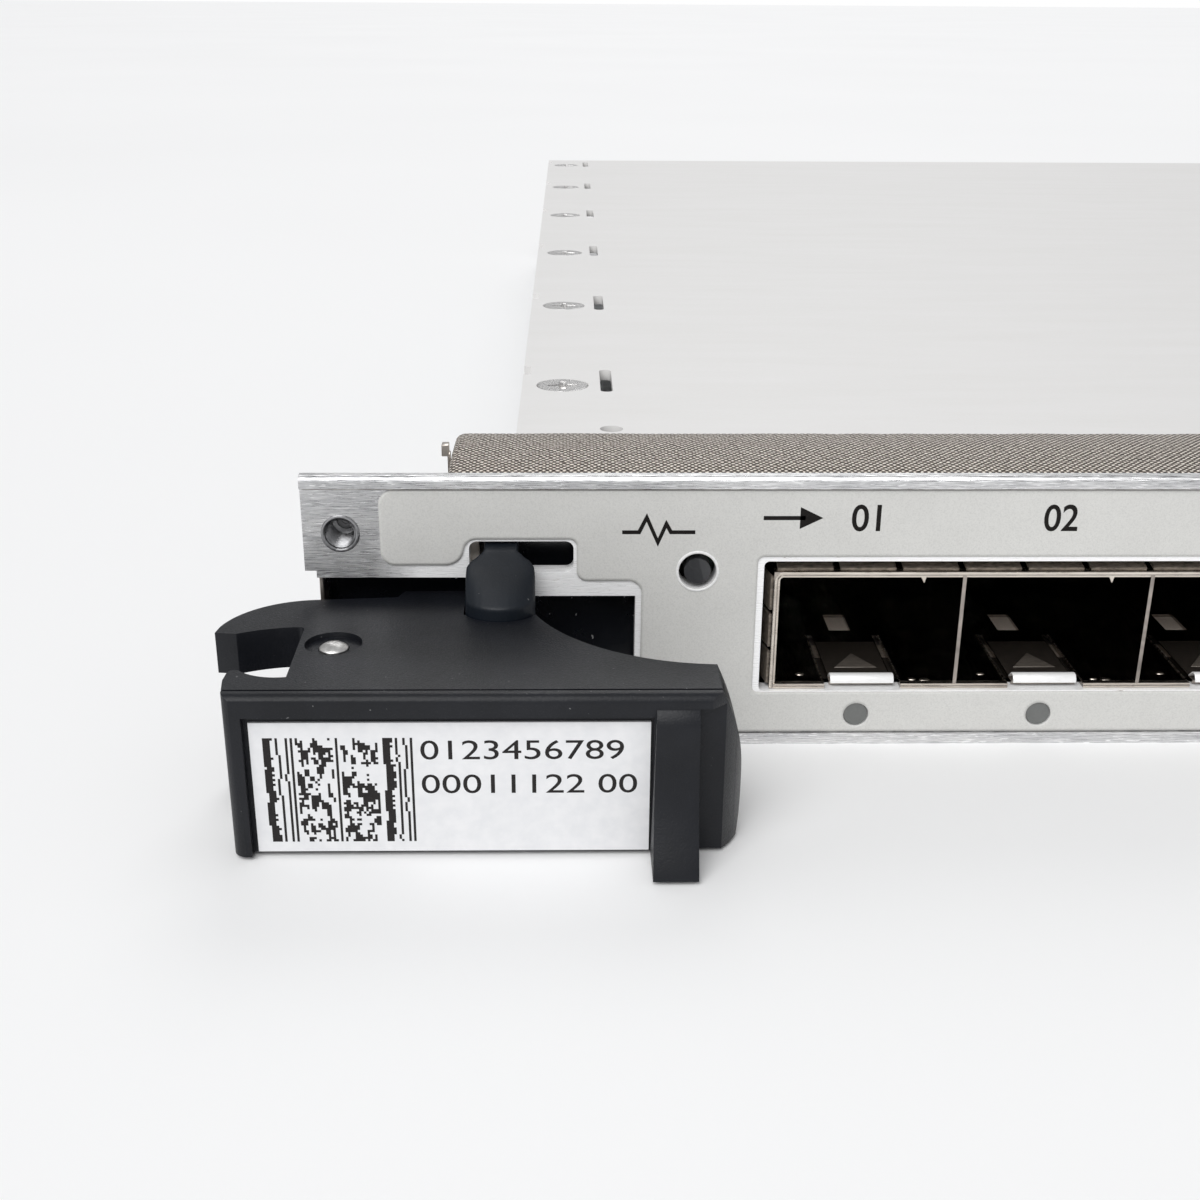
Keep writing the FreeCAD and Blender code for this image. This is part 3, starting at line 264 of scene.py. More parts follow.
def panel_metal():
    """The panel's aluminium: scratched grey at the end tabs, bright where it is machined."""
    n = Nodes("panel_metal")
    fine = n.noise((0.55, 13.0, 13.0), 3.0, 0.6)
    broad = n.noise((0.10, 0.9, 0.9), 4.0)
    nicks = n.noise((0.9, 9.0, 9.0), 2.0, 0.6)
    chatter = n.noise((0.9, 4.5, 4.5), 5.0, 0.65)
    # Machined between the two rails, fading out towards each end tab.
    rail_foot, rail_head, tab_edge, fade_end = 1.0, 16.95, 90.2, 86.5
    x, _, z = n.split(n.scaled())
    inboard = n.span(n.maths("ABSOLUTE", x), 0.0, 1.0, tab_edge, fade_end)
    below = n.maths("LESS_THAN", z, rail_head)
    above = n.maths("GREATER_THAN", z, rail_foot)
    milled = n.maths("MULTIPLY", n.maths("MULTIPLY", inboard, below), above)
    brushed = n.mix(0.35, n.ramp(fine, [(0.34, (0.40, 0.40, 0.41)), (0.52, (0.68, 0.68, 0.69)),
                                        (0.66, (1.0, 1.0, 1.0))]),
                    n.ramp(broad, [(0.38, (0.54, 0.54, 0.55)), (0.62, (0.86, 0.85, 0.84))]))
    brushed = n.mix(n.span(nicks, 0.0, 0.9, 0.60, 0.66), brushed, (1.0, 1.0, 1.0))
    bright = n.ramp(chatter, [(0.24, (0.34, 0.30, 0.27)), (0.33, (0.90, 0.89, 0.88)),
                              (0.41, (1.0, 1.0, 1.0))])
    n.set(Base_Color=n.mix(milled, brushed, bright), Metallic=n.span(milled, 1.0, 0.18),
          Roughness=n.span(fine, 0.20, 0.42, 0.3, 0.7))
    n.bump(n.mix(milled, fine, chatter), 0.03)
    return n.material


def plated_screw():
    """Nickel-plated fastener steel with turning marks."""
    n = Nodes("plated_screw")
    turned = n.noise((9.0, 9.0, 9.0), 3.0)
    n.set(Base_Color=n.ramp(turned, [(0.3, (0.52, 0.51, 0.50)), (0.7, (0.82, 0.81, 0.80))]),
          Metallic=1.0, Roughness=n.span(turned, 0.2, 0.38, 0.3, 0.7))
    n.bump(turned, 0.01)
    return n.material


def printed_film(name, tone):
    """Matt printed film: fine speckle in the ink and a soft orange-peel surface."""
    n = Nodes(name)
    speckle = n.noise((9.0, 9.0, 9.0), 2.0, 0.7)
    cloud = n.noise((0.25, 0.25, 0.25), 3.0)
    base = n.ramp(speckle, [(0.30, tuple(c * 0.90 for c in tone)), (0.5, tone),
                            (0.72, tuple(min(1.0, c * 1.05) for c in tone))])
    shade = n.ramp(cloud, [(0.3, 0.96), (0.7, 1.0)])
    n.set(Base_Color=n.mix(1.0, base, shade, "MULTIPLY"),
          Roughness=n.span(speckle, 0.42, 0.58, 0.3, 0.7))
    n.bump(speckle, 0.012)
    return n.material


def moulded_plastic(name, dark, light, roughness, grain_depth=0.025):
    """Fine spark-grained moulding with a few pale dust specks and rubbed areas."""
    n = Nodes(name)
    grain = n.noise((7.0, 7.0, 7.0), 3.0, 0.6)
    rub = n.noise((0.16, 0.16, 0.16), 4.0, 0.55, 0.3)
    dust = n.noise((3.4, 3.4, 3.4), 1.0)
    colour = n.mix(n.span(rub, 0.0, 1.0, 0.35, 0.65), dark, light)
    colour = n.mix(n.span(dust, 0.0, 0.35, 0.775, 0.82), colour, (0.36, 0.36, 0.36))
    n.set(Base_Color=colour, Roughness=n.maths("ADD", n.span(grain, -0.06, 0.06, 0.3, 0.7),
                                                n.span(rub, roughness + 0.05, roughness - 0.05)))
    n.shader.inputs["Specular IOR Level"].default_value = 0.32
    n.bump(grain, grain_depth)
    return n.material


def conductive_fabric():
    """Metallised plain weave: pale crossing yarns, with the gaps between them darkened as painted
    shade.
    """
    n = Nodes("conductive_fabric")
    x, y, z = n.split(n.scaled())
    across = n.maths("ADD", y, n.maths("MULTIPLY", z, 0.9))
    yarn_pitch = 0.52  # millimetres
    pitch = 2 * math.pi / yarn_pitch
    wobble = n.maths("MULTIPLY", n.noise((1.3, 1.3, 1.3), 3.0, 0.6), 5.0)
    warp = n.maths("SINE", n.maths("ADD", n.maths("MULTIPLY", x, pitch), wobble))
    weft = n.maths("SINE", n.maths("ADD", n.maths("MULTIPLY", across, pitch), wobble))
    yarn = n.span(n.maths("MULTIPLY", warp, weft), 0.0, 1.0, -0.8, 0.8)
    lustre = n.noise((5.0, 5.0, 5.0), 3.0, 0.7)
    height = n.maths("ADD", n.maths("MULTIPLY", yarn, 0.62), n.maths("MULTIPLY", lustre, 0.5))
    # Colour follows the weave's height: low gaps near black as painted shade, raised yarns pale.
    n.set(Base_Color=n.ramp(height, [(0.38, (0.035, 0.026, 0.020)), (0.53, (0.15, 0.122, 0.100)),
                                     (0.67, (0.42, 0.365, 0.31)), (0.80, (0.88, 0.83, 0.76))]),
          Metallic=0.25, Roughness=n.span(height, 0.62, 0.40, 0.3, 0.8))
    n.bump(height, 0.10)
    return n.material


def cover_paint():
    """Off-white powder coat with a fine texture and faint handling marks."""
    n = Nodes("cover_paint")
    peel = n.noise((3.2, 3.2, 3.2), 3.0, 0.55)
    marks = n.noise((0.05, 0.3, 0.3), 5.0, 0.6)
    n.set(Base_Color=n.ramp(marks, [(0.3, (0.765, 0.755, 0.74)), (0.7, (0.79, 0.78, 0.77))]),
          Roughness=n.span(peel, 0.38, 0.52, 0.3, 0.7))
    n.bump(peel, 0.02)
    return n.material


def solder_mask():
    """Green board with copper lines under the mask and bare pads."""
    n = Nodes("solder_mask")
    lines = n.add("TexBrick")
    for socket, value in (("Scale", 1.0), ("Brick Width", 2.4), ("Row Height", 0.6),
                          ("Mortar Size", 0.12)):
        lines.inputs[socket].default_value = value
    n.link(n.scaled(), lines.inputs["Vector"])
    cloud = n.noise((0.3, 0.3, 0.3), 4.0)
    green = n.mix(lines.outputs["Fac"], (0.010, 0.085, 0.040), (0.020, 0.150, 0.075))
    n.set(Base_Color=n.mix(n.span(cloud, 0.0, 0.4), green, (0.010, 0.060, 0.030)),
          Roughness=n.span(cloud, 0.22, 0.38), Coat_Weight=0.4)
    n.bump(lines.outputs["Fac"], 0.03)
    return n.material


def gloss_black():
    """Black coating with small pale specks of dust."""
    n = Nodes("gloss_black")
    specks = n.noise((1.5, 1.5, 1.5), 2.0)
    cloud = n.noise((0.4, 0.4, 0.4), 4.0)
    colour = n.mix(n.span(specks, 0.0, 0.8, 0.735, 0.765), (0.006, 0.007, 0.010), (0.6, 0.6, 0.6))
    n.set(Base_Color=colour, Roughness=n.span(cloud, 0.16, 0.34), Coat_Weight=0.2)
    n.bump(cloud, 0.02)
    return n.material


def smoked_lens(name, tone, roughness):
    """Moulded light pipe: grey, slightly clear, with moulding flow."""
    n = Nodes(name)
    flow = n.noise((1.6, 1.6, 1.6), 3.0, 0.5, 1.2)
    low = tuple(c * 0.75 for c in tone)
    n.set(Base_Color=n.mix(flow, low, tone), Roughness=n.span(flow, roughness, roughness + 0.15),
          Coat_Weight=0.5)
    n.bump(flow, 0.02)
    return n.material


def chip_epoxy(name, tone):
    """Moulded chip epoxy with filler sparkle."""
    n = Nodes(name)
    filler = n.noise((12.0, 12.0, 12.0), 2.0)
    n.set(Base_Color=n.ramp(filler, [(0.3, tuple(c * 0.7 for c in tone)), (0.7, tone)]),
          Roughness=n.span(filler, 0.45, 0.65))
    n.bump(filler, 0.01)
    return n.material


def label_film():
    """White label stock: nearly uniform, faint paper mottling and a soft sheen."""
    n = Nodes("label_film")
    mottle = n.noise((1.2, 1.2, 1.2), 3.0)
    n.set(Base_Color=n.ramp(mottle, [(0.3, (0.76, 0.765, 0.78)), (0.7, (0.82, 0.82, 0.83))]),
          Roughness=n.span(mottle, 0.3, 0.42), Coat_Weight=0.15)
    n.bump(mottle, 0.006)
    return n.material


def printed_ink(name, tone):
    """Slightly uneven printed ink."""
    n = Nodes(name)
    spread = n.noise((8.0, 8.0, 8.0), 3.0)
    n.set(Base_Color=n.ramp(spread, [(0.3, tuple(c * 0.6 for c in tone)), (0.75, tone)]),
          Roughness=n.span(spread, 0.5, 0.7))
    n.shader.inputs["Specular IOR Level"].default_value = 0.15
    n.bump(spread, 0.004)
    return n.material


ALUMINIUM = panel_metal()
LIP = brushed_metal("cage_lip", (0.50, 0.44, 0.38), (0.86, 0.80, 0.72), 0.26, (0.6, 5.0, 5.0),
                    0.01)
# Near-white and mostly diffuse: a painted reflection on the tongue bars, which are bright tin.
TONGUE_TIN_PAINTED_REFLECTION = scuffed_metal_painted_light("tongue_tin_painted_reflection", (0.93, 0.93, 0.92), (1.0, 1.0, 1.0), 0.15)
# Very dark brown: painted shade on the tongue face and the strip under the slots, deep inside the
# cage.
TONGUE_PAINTED_SHADE = scuffed_metal_painted_light("tongue_painted_shade", (0.022, 0.018, 0.015), (0.050, 0.042, 0.035), 0.35)
# Dark brown: painted shade on the catch ramps, which are tinned sheet inside the cage.
RAMP_PAINTED_SHADE = scuffed_metal_painted_light("ramp_steel_painted_shade", (0.09, 0.078, 0.066), (0.16, 0.14, 0.12), 0.35)
# Dark bronze: the collar's own bronze tone darkened as painted shade; it also dresses the painted
# shadow line under the top bead.
BRONZE_PAINTED_SHADE = scuffed_metal_painted_light("bronze_painted_shade", (0.085, 0.070, 0.058), (0.34, 0.29, 0.24), 0.35)
INSERT = brushed_metal("insert_steel", (0.12, 0.12, 0.125), (0.42, 0.42, 0.43),
                       0.30, (3.0, 3.0, 3.0), 0.008)
CAGE = cage_sheet_painted_shade()
TINNED = tinned_sheet()
ZINC = brushed_metal("zinc_steel", (0.42, 0.43, 0.44), (0.74, 0.75, 0.76),
                     0.36, (0.5, 0.5, 6.0), 0.01)
SINK = brushed_metal("sink_aluminium", (0.40, 0.41, 0.43), (0.72, 0.73, 0.75),
                     0.4, (8.0, 0.3, 8.0))
PIN = brushed_metal("pin_steel", (0.66, 0.65, 0.63), (0.95, 0.94, 0.92), 0.34, (3.0, 3.0, 3.0),
                    0.005)
SCREW = plated_screw()
FILM = printed_film("overlay_film", (0.655, 0.651, 0.628))
FILM_RIM = printed_film("overlay_rim", (0.90, 0.90, 0.885))
# Near-white: the status lamp's raised ring, coloured as a painted highlight.
RIM_PAINTED_HIGHLIGHT = smoked_lens("lamp_rim_painted_highlight", (0.98, 0.98, 0.97), 0.2)
HANDLE = moulded_plastic("handle_plastic", (0.0046, 0.0054, 0.0078), (0.0088, 0.0099, 0.0136),
                         0.42)
LATCH = moulded_plastic("latch_plastic", (0.0040, 0.0062, 0.0100), (0.0072, 0.0108, 0.0165),
                        0.45, 0.010)
FABRIC = conductive_fabric()
PAINT = cover_paint()
BOARD = solder_mask()
BLACK = gloss_black()
PAD_TIN = chip_epoxy("solder_pad", (0.95, 0.84, 0.74))
LENS = smoked_lens("lamp_lens", (0.150, 0.155, 0.150), 0.3)
DARK_LENS = smoked_lens("status_lens", (0.030, 0.031, 0.034), 0.25)
RESIN = smoked_lens("led_resin", (0.80, 0.76, 0.55), 0.25)
CONNECTOR = moulded_plastic("connector_plastic", (0.018, 0.018, 0.018), (0.030, 0.030, 0.030),
                            0.5)
EPOXY = chip_epoxy("chip_package", (0.035, 0.035, 0.038))
GAP_PAD = chip_epoxy("gap_pad", (0.30, 0.42, 0.52))
LABEL = label_film()
INK = printed_ink("dark_ink", (0.030, 0.027, 0.027))
LEGEND_INK = printed_ink("legend_ink", (0.012, 0.010, 0.009))

SLOT_MATERIALS = {
    "bare_aluminium": ALUMINIUM, "overlay_film": FILM, "tinned_steel": TINNED,
    "conductive_fabric": FABRIC, "cover_paint": PAINT, "zinc_steel": ZINC, "screw_steel": SCREW,
    "board": BOARD, "handle_plastic": HANDLE, "latch_plastic": LATCH, "label_film": LABEL,
    "black_coat": BLACK, "pin_steel": PIN, "spring_steel": PIN, "lamp_lens": LENS,
    "led_resin": RESIN, "connector_plastic": CONNECTOR, "chip_package": EPOXY,
    "sink_aluminium": SINK, "gap_pad": GAP_PAD, "can_aluminium": SINK,
}
NODE_SLOT = {part["node"]: part["material_slot"] for part in frame["record"]["subparts"]}
NODE_BODY = {node: body for body, members in frame["record"]["behaviour"]["bodies"].items()
             for node in members}


def dress(obj, material):
    """Give an object one material."""
    obj.data.materials.clear()
    obj.data.materials.append(material)


for node, obj in frame["nodes"].items():
    dress(obj, SLOT_MATERIALS[NODE_SLOT[node]])
dress(frame["nodes"]["status_light_pipe"], DARK_LENS)
for side in ("left", "right"):
    # The cages wear the tin darkened as painted shade.
    dress(frame["nodes"]["sfp_cage_" + side], CAGE)
    # The collar's fingers get the bronze darkened as painted shade.
    dress(frame["nodes"]["cage_collar_" + side], BRONZE_PAINTED_SHADE)


# ------------------------------------------------------------------- mesh helpers
def new_piece(name, mesh, material, body):
    """An object from a mesh, dressed and riding on a body."""
    obj = bpy.data.objects.new(name, mesh)
    bpy.context.scene.collection.objects.link(obj)
    if material is not None:
        dress(obj, material)
    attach(obj, body)
    return obj


def apply_modifiers(obj):
    """Bake an object's modifiers into its mesh."""
    bpy.context.view_layer.update()
    evaluated = obj.evaluated_get(bpy.context.evaluated_depsgraph_get())
    mesh = bpy.data.meshes.new_from_object(evaluated)
    obj.modifiers.clear()
    obj.data = mesh


def clean_copy(node):
    """A copy of a CAD node's mesh with its flat triangles joined up again."""
    mesh = frame["nodes"][node].data.copy()
    for stored in ("custom_normal", "sharp_edge", "sharp_face"):
        if stored in mesh.attributes:
            mesh.attributes.remove(mesh.attributes[stored])
    bm = bmesh.new()
    bm.from_mesh(mesh)
    bmesh.ops.remove_doubles(bm, verts=bm.verts, dist=1e-7)
    bmesh.ops.dissolve_limit(bm, angle_limit=math.radians(0.6), verts=bm.verts, edges=bm.edges)
    bm.to_mesh(mesh)
    bm.free()
    return mesh


SMALL_FACE, SQUARE = 0.5, 0.9999  # square millimetres, and a normal's reach along an axis


def smooth(obj, angle=35):
    """Smooth shading, split at edges sharper than an angle; faces square to an axis stay flat."""
    obj.data.set_sharp_from_angle(angle=math.radians(angle))
    for polygon in obj.data.polygons:
        squareness = max(abs(axis) for axis in polygon.normal)
        polygon.use_smooth = polygon.area < SMALL_FACE * MM * MM or squareness < SQUARE


def smooth_edges(obj, width_mm, segments=2, angle=32):
    """Break an object's sharp edges and shade the rest smooth."""
    bevel = obj.modifiers.new("edges", "BEVEL")
    bevel.width = width_mm * MM
    bevel.segments = segments
    bevel.limit_method = "ANGLE"
    bevel.angle_limit = math.radians(angle)
    bevel.use_clamp_overlap = True
    apply_modifiers(obj)
    smooth(obj)


def softened(node, width_mm, segments=2):
    """Stand a copy of a CAD node in its place, with its sharp edges broken."""
    obj = new_piece(node + "_soft", clean_copy(node), SLOT_MATERIALS[NODE_SLOT[node]],
                    NODE_BODY[node])
    smooth_edges(obj, width_mm, segments)
    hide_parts(node)


def mesh_of(name, corners, faces):
    """A mesh from corners in panel millimetres, with its normals put right."""
    mesh = bpy.data.meshes.new(name)
    mesh.from_pydata([at(*corner) for corner in corners], [], faces)
    bm = bmesh.new()
    bm.from_mesh(mesh)
    bmesh.ops.recalc_face_normals(bm, faces=bm.faces)
    bm.to_mesh(mesh)
    bm.free()
    return mesh


def joined(name, parts):
    """One mesh from several (corners, faces) pairs."""
    corners, faces = [], []
    for part_corners, part_faces in parts:
        start = len(corners)
        corners += part_corners
        faces += [tuple(start + index for index in face) for face in part_faces]
    return mesh_of(name, corners, faces)


def loft(rings):
    """Corners and faces of a closed skin over rings that have the same number of corners."""
    corners = [corner for ring in rings for corner in ring]
    count = len(rings[0])
    faces = []
    for level in range(len(rings) - 1):
        low, high = level * count, (level + 1) * count
        for step in range(count):
            after = (step + 1) % count
            faces.append((low + step, low + after, high + after, high + step))
    faces.append(tuple(range(count)))
    faces.append(tuple(range(len(corners) - count, len(corners))))
    return corners, faces


def along_x(outline, x0, x1):
    """A closed Y-Z outline drawn from x0 to x1."""
    return loft([[(x, y, z) for y, z in outline] for x in (x0, x1)])


def along_y(outline, y0, y1):
    """A closed X-Z outline drawn from y0 to y1."""
    return loft([[(x, y, z) for x, z in outline] for y in (y0, y1)])


def along_z(outline, z0, z1):
    """A closed X-Y outline drawn from z0 to z1."""
    return loft([[(x, y, z) for x, y in outline] for z in (z0, z1)])


def sheet_strip(line, thickness):
    """The closed outline of a thin bent sheet whose one face follows a line."""
    back = []
    for index, point in enumerate(line):
        before = Vector(line[max(index - 1, 0)])
        after = Vector(line[min(index + 1, len(line) - 1)])
        way = (after - before).normalized()
        back.append((point[0] - way.y * thickness, point[1] + way.x * thickness))
    return line + back[::-1]


def port_middles(side):
    """The middle of each port of one cage, in millimetres from the panel's left end."""
    middles = [PORT_FIRST + PORT_PITCH * (n + 0.5) for n in range(4)]
    return middles if side == "left" else [flip(x) for x in reversed(middles)]


for side in ("left", "right"):
    softened(side + "_handle", 0.30, 3)
    softened(side + "_hinge_pin", 0.05)
    softened(side + "_handle_bracket", 0.12)
    softened(side + "_window_liner", 0.05)
softened("front_panel", 0.06)
softened("top_cover", 0.08)
softened("cover_screws", 0.07)
softened("gasket_end_clips", 0.12)


# ----------------------------------------------------------------------- the latches
# The head, in panel millimetres: across, front to back with its front's radius, and heights.
HEAD_MIDDLE, HEAD_HALF = 14.55, 2.55
HEAD_FRONT, HEAD_BACK, HEAD_BOW = -4.55, -0.5, 2.87
HEAD_BASE, HEAD_EDGE, HEAD_CREST = 11.2, 13.1, 16.25


def latch_head(side):
    """The thumb pad: a level front edge, curved in plan, rising to the neck behind it."""
    # how far back towards the neck, and the half width there
    steps = [(0.0, 2.55), (0.15, 2.55), (0.3, 2.55), (0.45, 2.55), (0.6, 2.55), (0.70, 2.50),
             (0.79, 2.24), (0.87, 1.86), (0.94, 1.5), (1.0, 1.25)]
    across = [math.sin(math.radians(angle)) for angle in range(-90, 91, 15)]
    wide, layer = len(across), len(across) * len(steps)
    corners, faces = [], []
    for top in (False, True):
        for back, half in steps:
            for share in across:
                x = HEAD_MIDDLE + share * half
                front = HEAD_FRONT + HEAD_BOW - math.sqrt(HEAD_BOW ** 2 - (share * HEAD_HALF) ** 2)
                y = front + (HEAD_BACK - front) * back
                z = HEAD_EDGE + (HEAD_CREST - HEAD_EDGE) * back if top else HEAD_BASE
                corners.append((x if side == "left" else flip(x), y, z))
    for row in range(len(steps) - 1):
        for n in range(row * wide, row * wide + wide - 1):
            faces += [(n, n + 1, n + wide + 1, n + wide),
                      (n + layer, n + layer + 1, n + layer + wide + 1, n + layer + wide)]
        for n in (row * wide, row * wide + wide - 1):
            faces.append((n, n + wide, n + wide + layer, n + layer))
    for start in (0, layer - wide):
        faces += [(n, n + 1, n + 1 + layer, n + layer) for n in range(start, start + wide - 1)]
    return mesh_of(side + "_latch_head", corners, faces)


def rounded_latch(side):
    """The latch with every edge melted into the next, as a soft-touch moulding is."""
    node = side + "_latch"
    mesh = clean_copy(node)
    neck, sunk = at(0, HEAD_BACK - 0.05, 0).y, at(0, 0, HEAD_BASE + 0.6).z
    for vertex in mesh.vertices:
        if vertex.co.y < neck:
            vertex.co.z = min(vertex.co.z, sunk)
    bm = bmesh.new()
    bm.from_mesh(mesh)
    bm.from_mesh(latch_head(side))
    bm.to_mesh(mesh)
    bm.free()
    obj = new_piece(node + "_smooth", mesh, LATCH, NODE_BODY[node])
    melt = obj.modifiers.new("melt", "REMESH")
    melt.mode = "VOXEL"
    melt.voxel_size = 0.11 * MM
    soften = obj.modifiers.new("soften", "SMOOTH")
    soften.factor = 0.5
    soften.iterations = 10
    thin = obj.modifiers.new("thin", "DECIMATE")
    thin.ratio = 0.35
    apply_modifiers(obj)
    for polygon in obj.data.polygons:
        polygon.use_smooth = True
    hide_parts(node)


def latch_spring(side):
    """The spring under the latch, as a smooth-shaded coil with a mesh of its own."""
    node = side + "_latch_spring"
    coil = new_piece(node + "_coil", clean_copy(node), PIN, NODE_BODY[node])
    smooth(coil)
    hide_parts(node)
    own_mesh(coil)


for side in ("left", "right"):
    rounded_latch(side)
    latch_spring(side)


# ---------------------------------------------------------------- the overlay's rim
def rimmed_overlay():
    """The overlay with a paler border pressed round its outline and every opening."""
    mesh = clean_copy("panel_overlay")
    bm = bmesh.new()
    bm.from_mesh(mesh)
    front = [face for face in bm.faces if face.normal.y < -0.9]
    rim = bmesh.ops.inset_region(bm, faces=front, thickness=0.24 * MM, use_even_offset=True,
                                 use_boundary=True)
    for face in rim["faces"]:
        face.material_index = 1
    bm.to_mesh(mesh)
    bm.free()
    obj = new_piece("panel_overlay_printed", mesh, None, "chassis")
    obj.data.materials.clear()
    obj.data.materials.append(FILM)
    obj.data.materials.append(FILM_RIM)
    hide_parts("panel_overlay")


rimmed_overlay()


# --------------------------------------------------------------------- printed marks
def lettering(name, text, left, low, wide, tall, face, material, body, weight=0.0):
    """Numerals lying on a face that looks forwards, fitted to a width and a height."""
    curve = bpy.data.curves.new(name, "FONT")
    curve.body = text
    curve.resolution_u = 5
    curve.offset = weight
    holder = bpy.data.objects.new(name, curve)
    bpy.context.scene.collection.objects.link(holder)
    bpy.context.view_layer.update()
    evaluated = holder.evaluated_get(bpy.context.evaluated_depsgraph_get())
    mesh = bpy.data.meshes.new_from_object(evaluated)
    bpy.data.objects.remove(holder)
    xs = [vertex.co.x for vertex in mesh.vertices]
    ys = [vertex.co.y for vertex in mesh.vertices]
    for vertex in mesh.vertices:
        across = (vertex.co.x - min(xs)) / (max(xs) - min(xs))
        height = (vertex.co.y - min(ys)) / (max(ys) - min(ys))
        vertex.co = at(left + wide * across, face - INK_LIFT, low + tall * height)
    new_piece(name, mesh, material, body)


def stroke(points, width):
    """Corners and faces of a flat line of even width through X-Z points."""
    sides = ([], [])
    for index, point in enumerate(points):
        ways = []
        if index:
            ways.append((Vector(point) - Vector(points[index - 1])).normalized())
        if index < len(points) - 1:
            ways.append((Vector(points[index + 1]) - Vector(point)).normalized())
        mean = sum(ways, Vector((0, 0))).normalized()
        reach = width / 2 / max(0.45, mean.dot(ways[0]))
        for side, sign in zip(sides, (1, -1)):
            side.append((point[0] - sign * mean.y * reach, point[1] + sign * mean.x * reach))
    corners = [(x, FILM_FACE - INK_LIFT, z) for x, z in sides[0] + sides[1]]
    count = len(points)
    return corners, [(n, n + 1, count + n + 1, count + n) for n in range(count - 1)]


for number, middle in enumerate(port_middles("left") + port_middles("right"), start=1):
    wide = 2.15 if number == 1 else 2.55
    lettering("port_number_%d" % number, "%02d" % number, middle - 1.85, 17.5, wide, 2.1,
              FILM_FACE, LEGEND_INK, "chassis", 0.012)
pulse = stroke([(23.5, 17.45), (24.75, 17.45), (25.3, 18.6), (26.15, 16.65), (26.75, 18.1),
                (27.1, 17.45), (28.9, 17.45)], 0.30)
new_piece("activity_mark", joined("activity_mark", [pulse]), LEGEND_INK, "chassis")
shaft = stroke([(33.9, 18.55), (37.0, 18.55)], 0.32)
point = ((36.6, 19.4), (36.6, 17.7), (38.3, 18.55))
head = [(x, FILM_FACE - INK_LIFT, z) for x, z in point], [(0, 1, 2)]
new_piece("direction_mark", joined("direction_mark", [shaft, head]), LEGEND_INK, "chassis")


def code_cells(rng):
    """A made-up mosaic of dark cells between wandering guard bars; it encodes nothing."""
    columns, rows = 60, 44
    dark = [[False] * columns for _ in range(rows)]
    guards = [(0, 3), (5, 1), (8, 1), (11, 1), (29, 1), (48, 3), (53, 1), (56, 1), (59, 1)]
    for start, wide in guards:
        drift = 0
        for row in range(rows):
            if rng.random() < 0.16 and start not in (11, 29, 59):
                drift = max(0, min(1, drift + rng.choice((-1, 1))))
            extra = 1 if wide > 1 and rng.random() < 0.3 else 0
            for column in range(start, start + wide + extra):
                if column + drift < columns:
                    dark[row][column + drift] = True
    for low, high in ((13, 28), (31, 46)):
        for row in range(rows):
            for column in range(low, high):
                if row and rng.random() < 0.42:
                    dark[row][column] = dark[row - 1][column]
                elif column > low and rng.random() < 0.35:
                    dark[row][column] = dark[row][column - 1]
                else:
                    dark[row][column] = rng.random() < 0.47
    return dark


def print_label(side):
    """The printed mosaic and two lines of plain digits on a handle's label."""
    low_corner, high_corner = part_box(side + "_handle_label")
    left = (low_corner.x - CORNER.x) / MM
    low, high = low_corner.z / MM, high_corner.z / MM
    body = side + "_handle_body"
    dark = code_cells(random.Random(41 if side == "left" else 42))
    x0, x1 = left + 0.85, left + 10.65
    z0, z1 = low + 0.75, high - 1.1
    wide, tall = (x1 - x0) / len(dark[0]), (z1 - z0) / len(dark)
    corners, faces = [], []
    for row, cells in enumerate(dark):
        column = 0
        while column < len(cells):
            if not cells[column]:
                column += 1
                continue
            end = column
            while end < len(cells) and cells[end]:
                end += 1
            top = z1 - tall * row
            start = len(corners)
            for x, z in ((column, top), (end, top), (end, top - tall), (column, top - tall)):
                corners.append((x0 + wide * x, LABEL_FACE - INK_LIFT, z))
            faces.append((start, start + 1, start + 2, start + 3))
            column = end
    new_piece(side + "_label_mosaic", mesh_of("mosaic", corners, faces), INK, body)
    lettering(side + "_label_line_1", "0123456789", left + 11.15, high - 2.72, 13.4, 1.42,
              LABEL_FACE, INK, body)
    lettering(side + "_label_line_2", "00011122 00", left + 11.15, high - 5.25, 14.3, 1.42,
              LABEL_FACE, INK, body)


for side in ("left", "right"):
    print_label(side)


# ------------------------------------------------------------------- threaded inserts
def turned(profile, steps=48):
    """Corners and faces of a shape turned round the Y axis from (radius, y) points."""
    corners, faces = [], []
    for radius, y in profile:
        for step in range(steps):
            angle = 2 * math.pi * step / steps
            corners.append((radius * math.cos(angle), y, radius * math.sin(angle)))
    for ring in range(len(profile) - 1):
        for step in range(steps):
            after = (step + 1) % steps
            faces.append((ring * steps + step, ring * steps + after,
                          (ring + 1) * steps + after, (ring + 1) * steps + step))
    return corners, faces


def moved(part, x, y, z):
    """The same corners and faces somewhere else."""
    return [(a + x, b + y, c + z) for a, b, c in part[0]], part[1]


def insert_profile():
    """Ring, rounded lip, a dozen threads and a drilled bottom."""
    profile = [(1.43, 3.85), (1.43, -0.09), (1.38, -0.14), (1.27, -0.15), (1.16, -0.10),
               (1.10, 0.02)]
    for turn_number in range(12):
        y = 0.06 + 0.26 * turn_number
        profile += [(1.03, y), (1.03, y + 0.04), (1.17, y + 0.13), (1.17, y + 0.17)]
    return profile + [(1.03, 3.18), (0.75, 3.22), (0.72, 3.28), (0.40, 3.30), (0.37, 3.34),
                      (0.001, 3.36)]


INSERT_X, INSERT_Z = 2.78, 17.33
threads = [moved(turned(insert_profile()), x, 0.0, INSERT_Z) for x in (INSERT_X, flip(INSERT_X))]
insert = new_piece("threaded_inserts", joined("threaded_inserts", threads), INSERT, "chassis")
smooth(insert, 28)
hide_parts("panel_inserts")

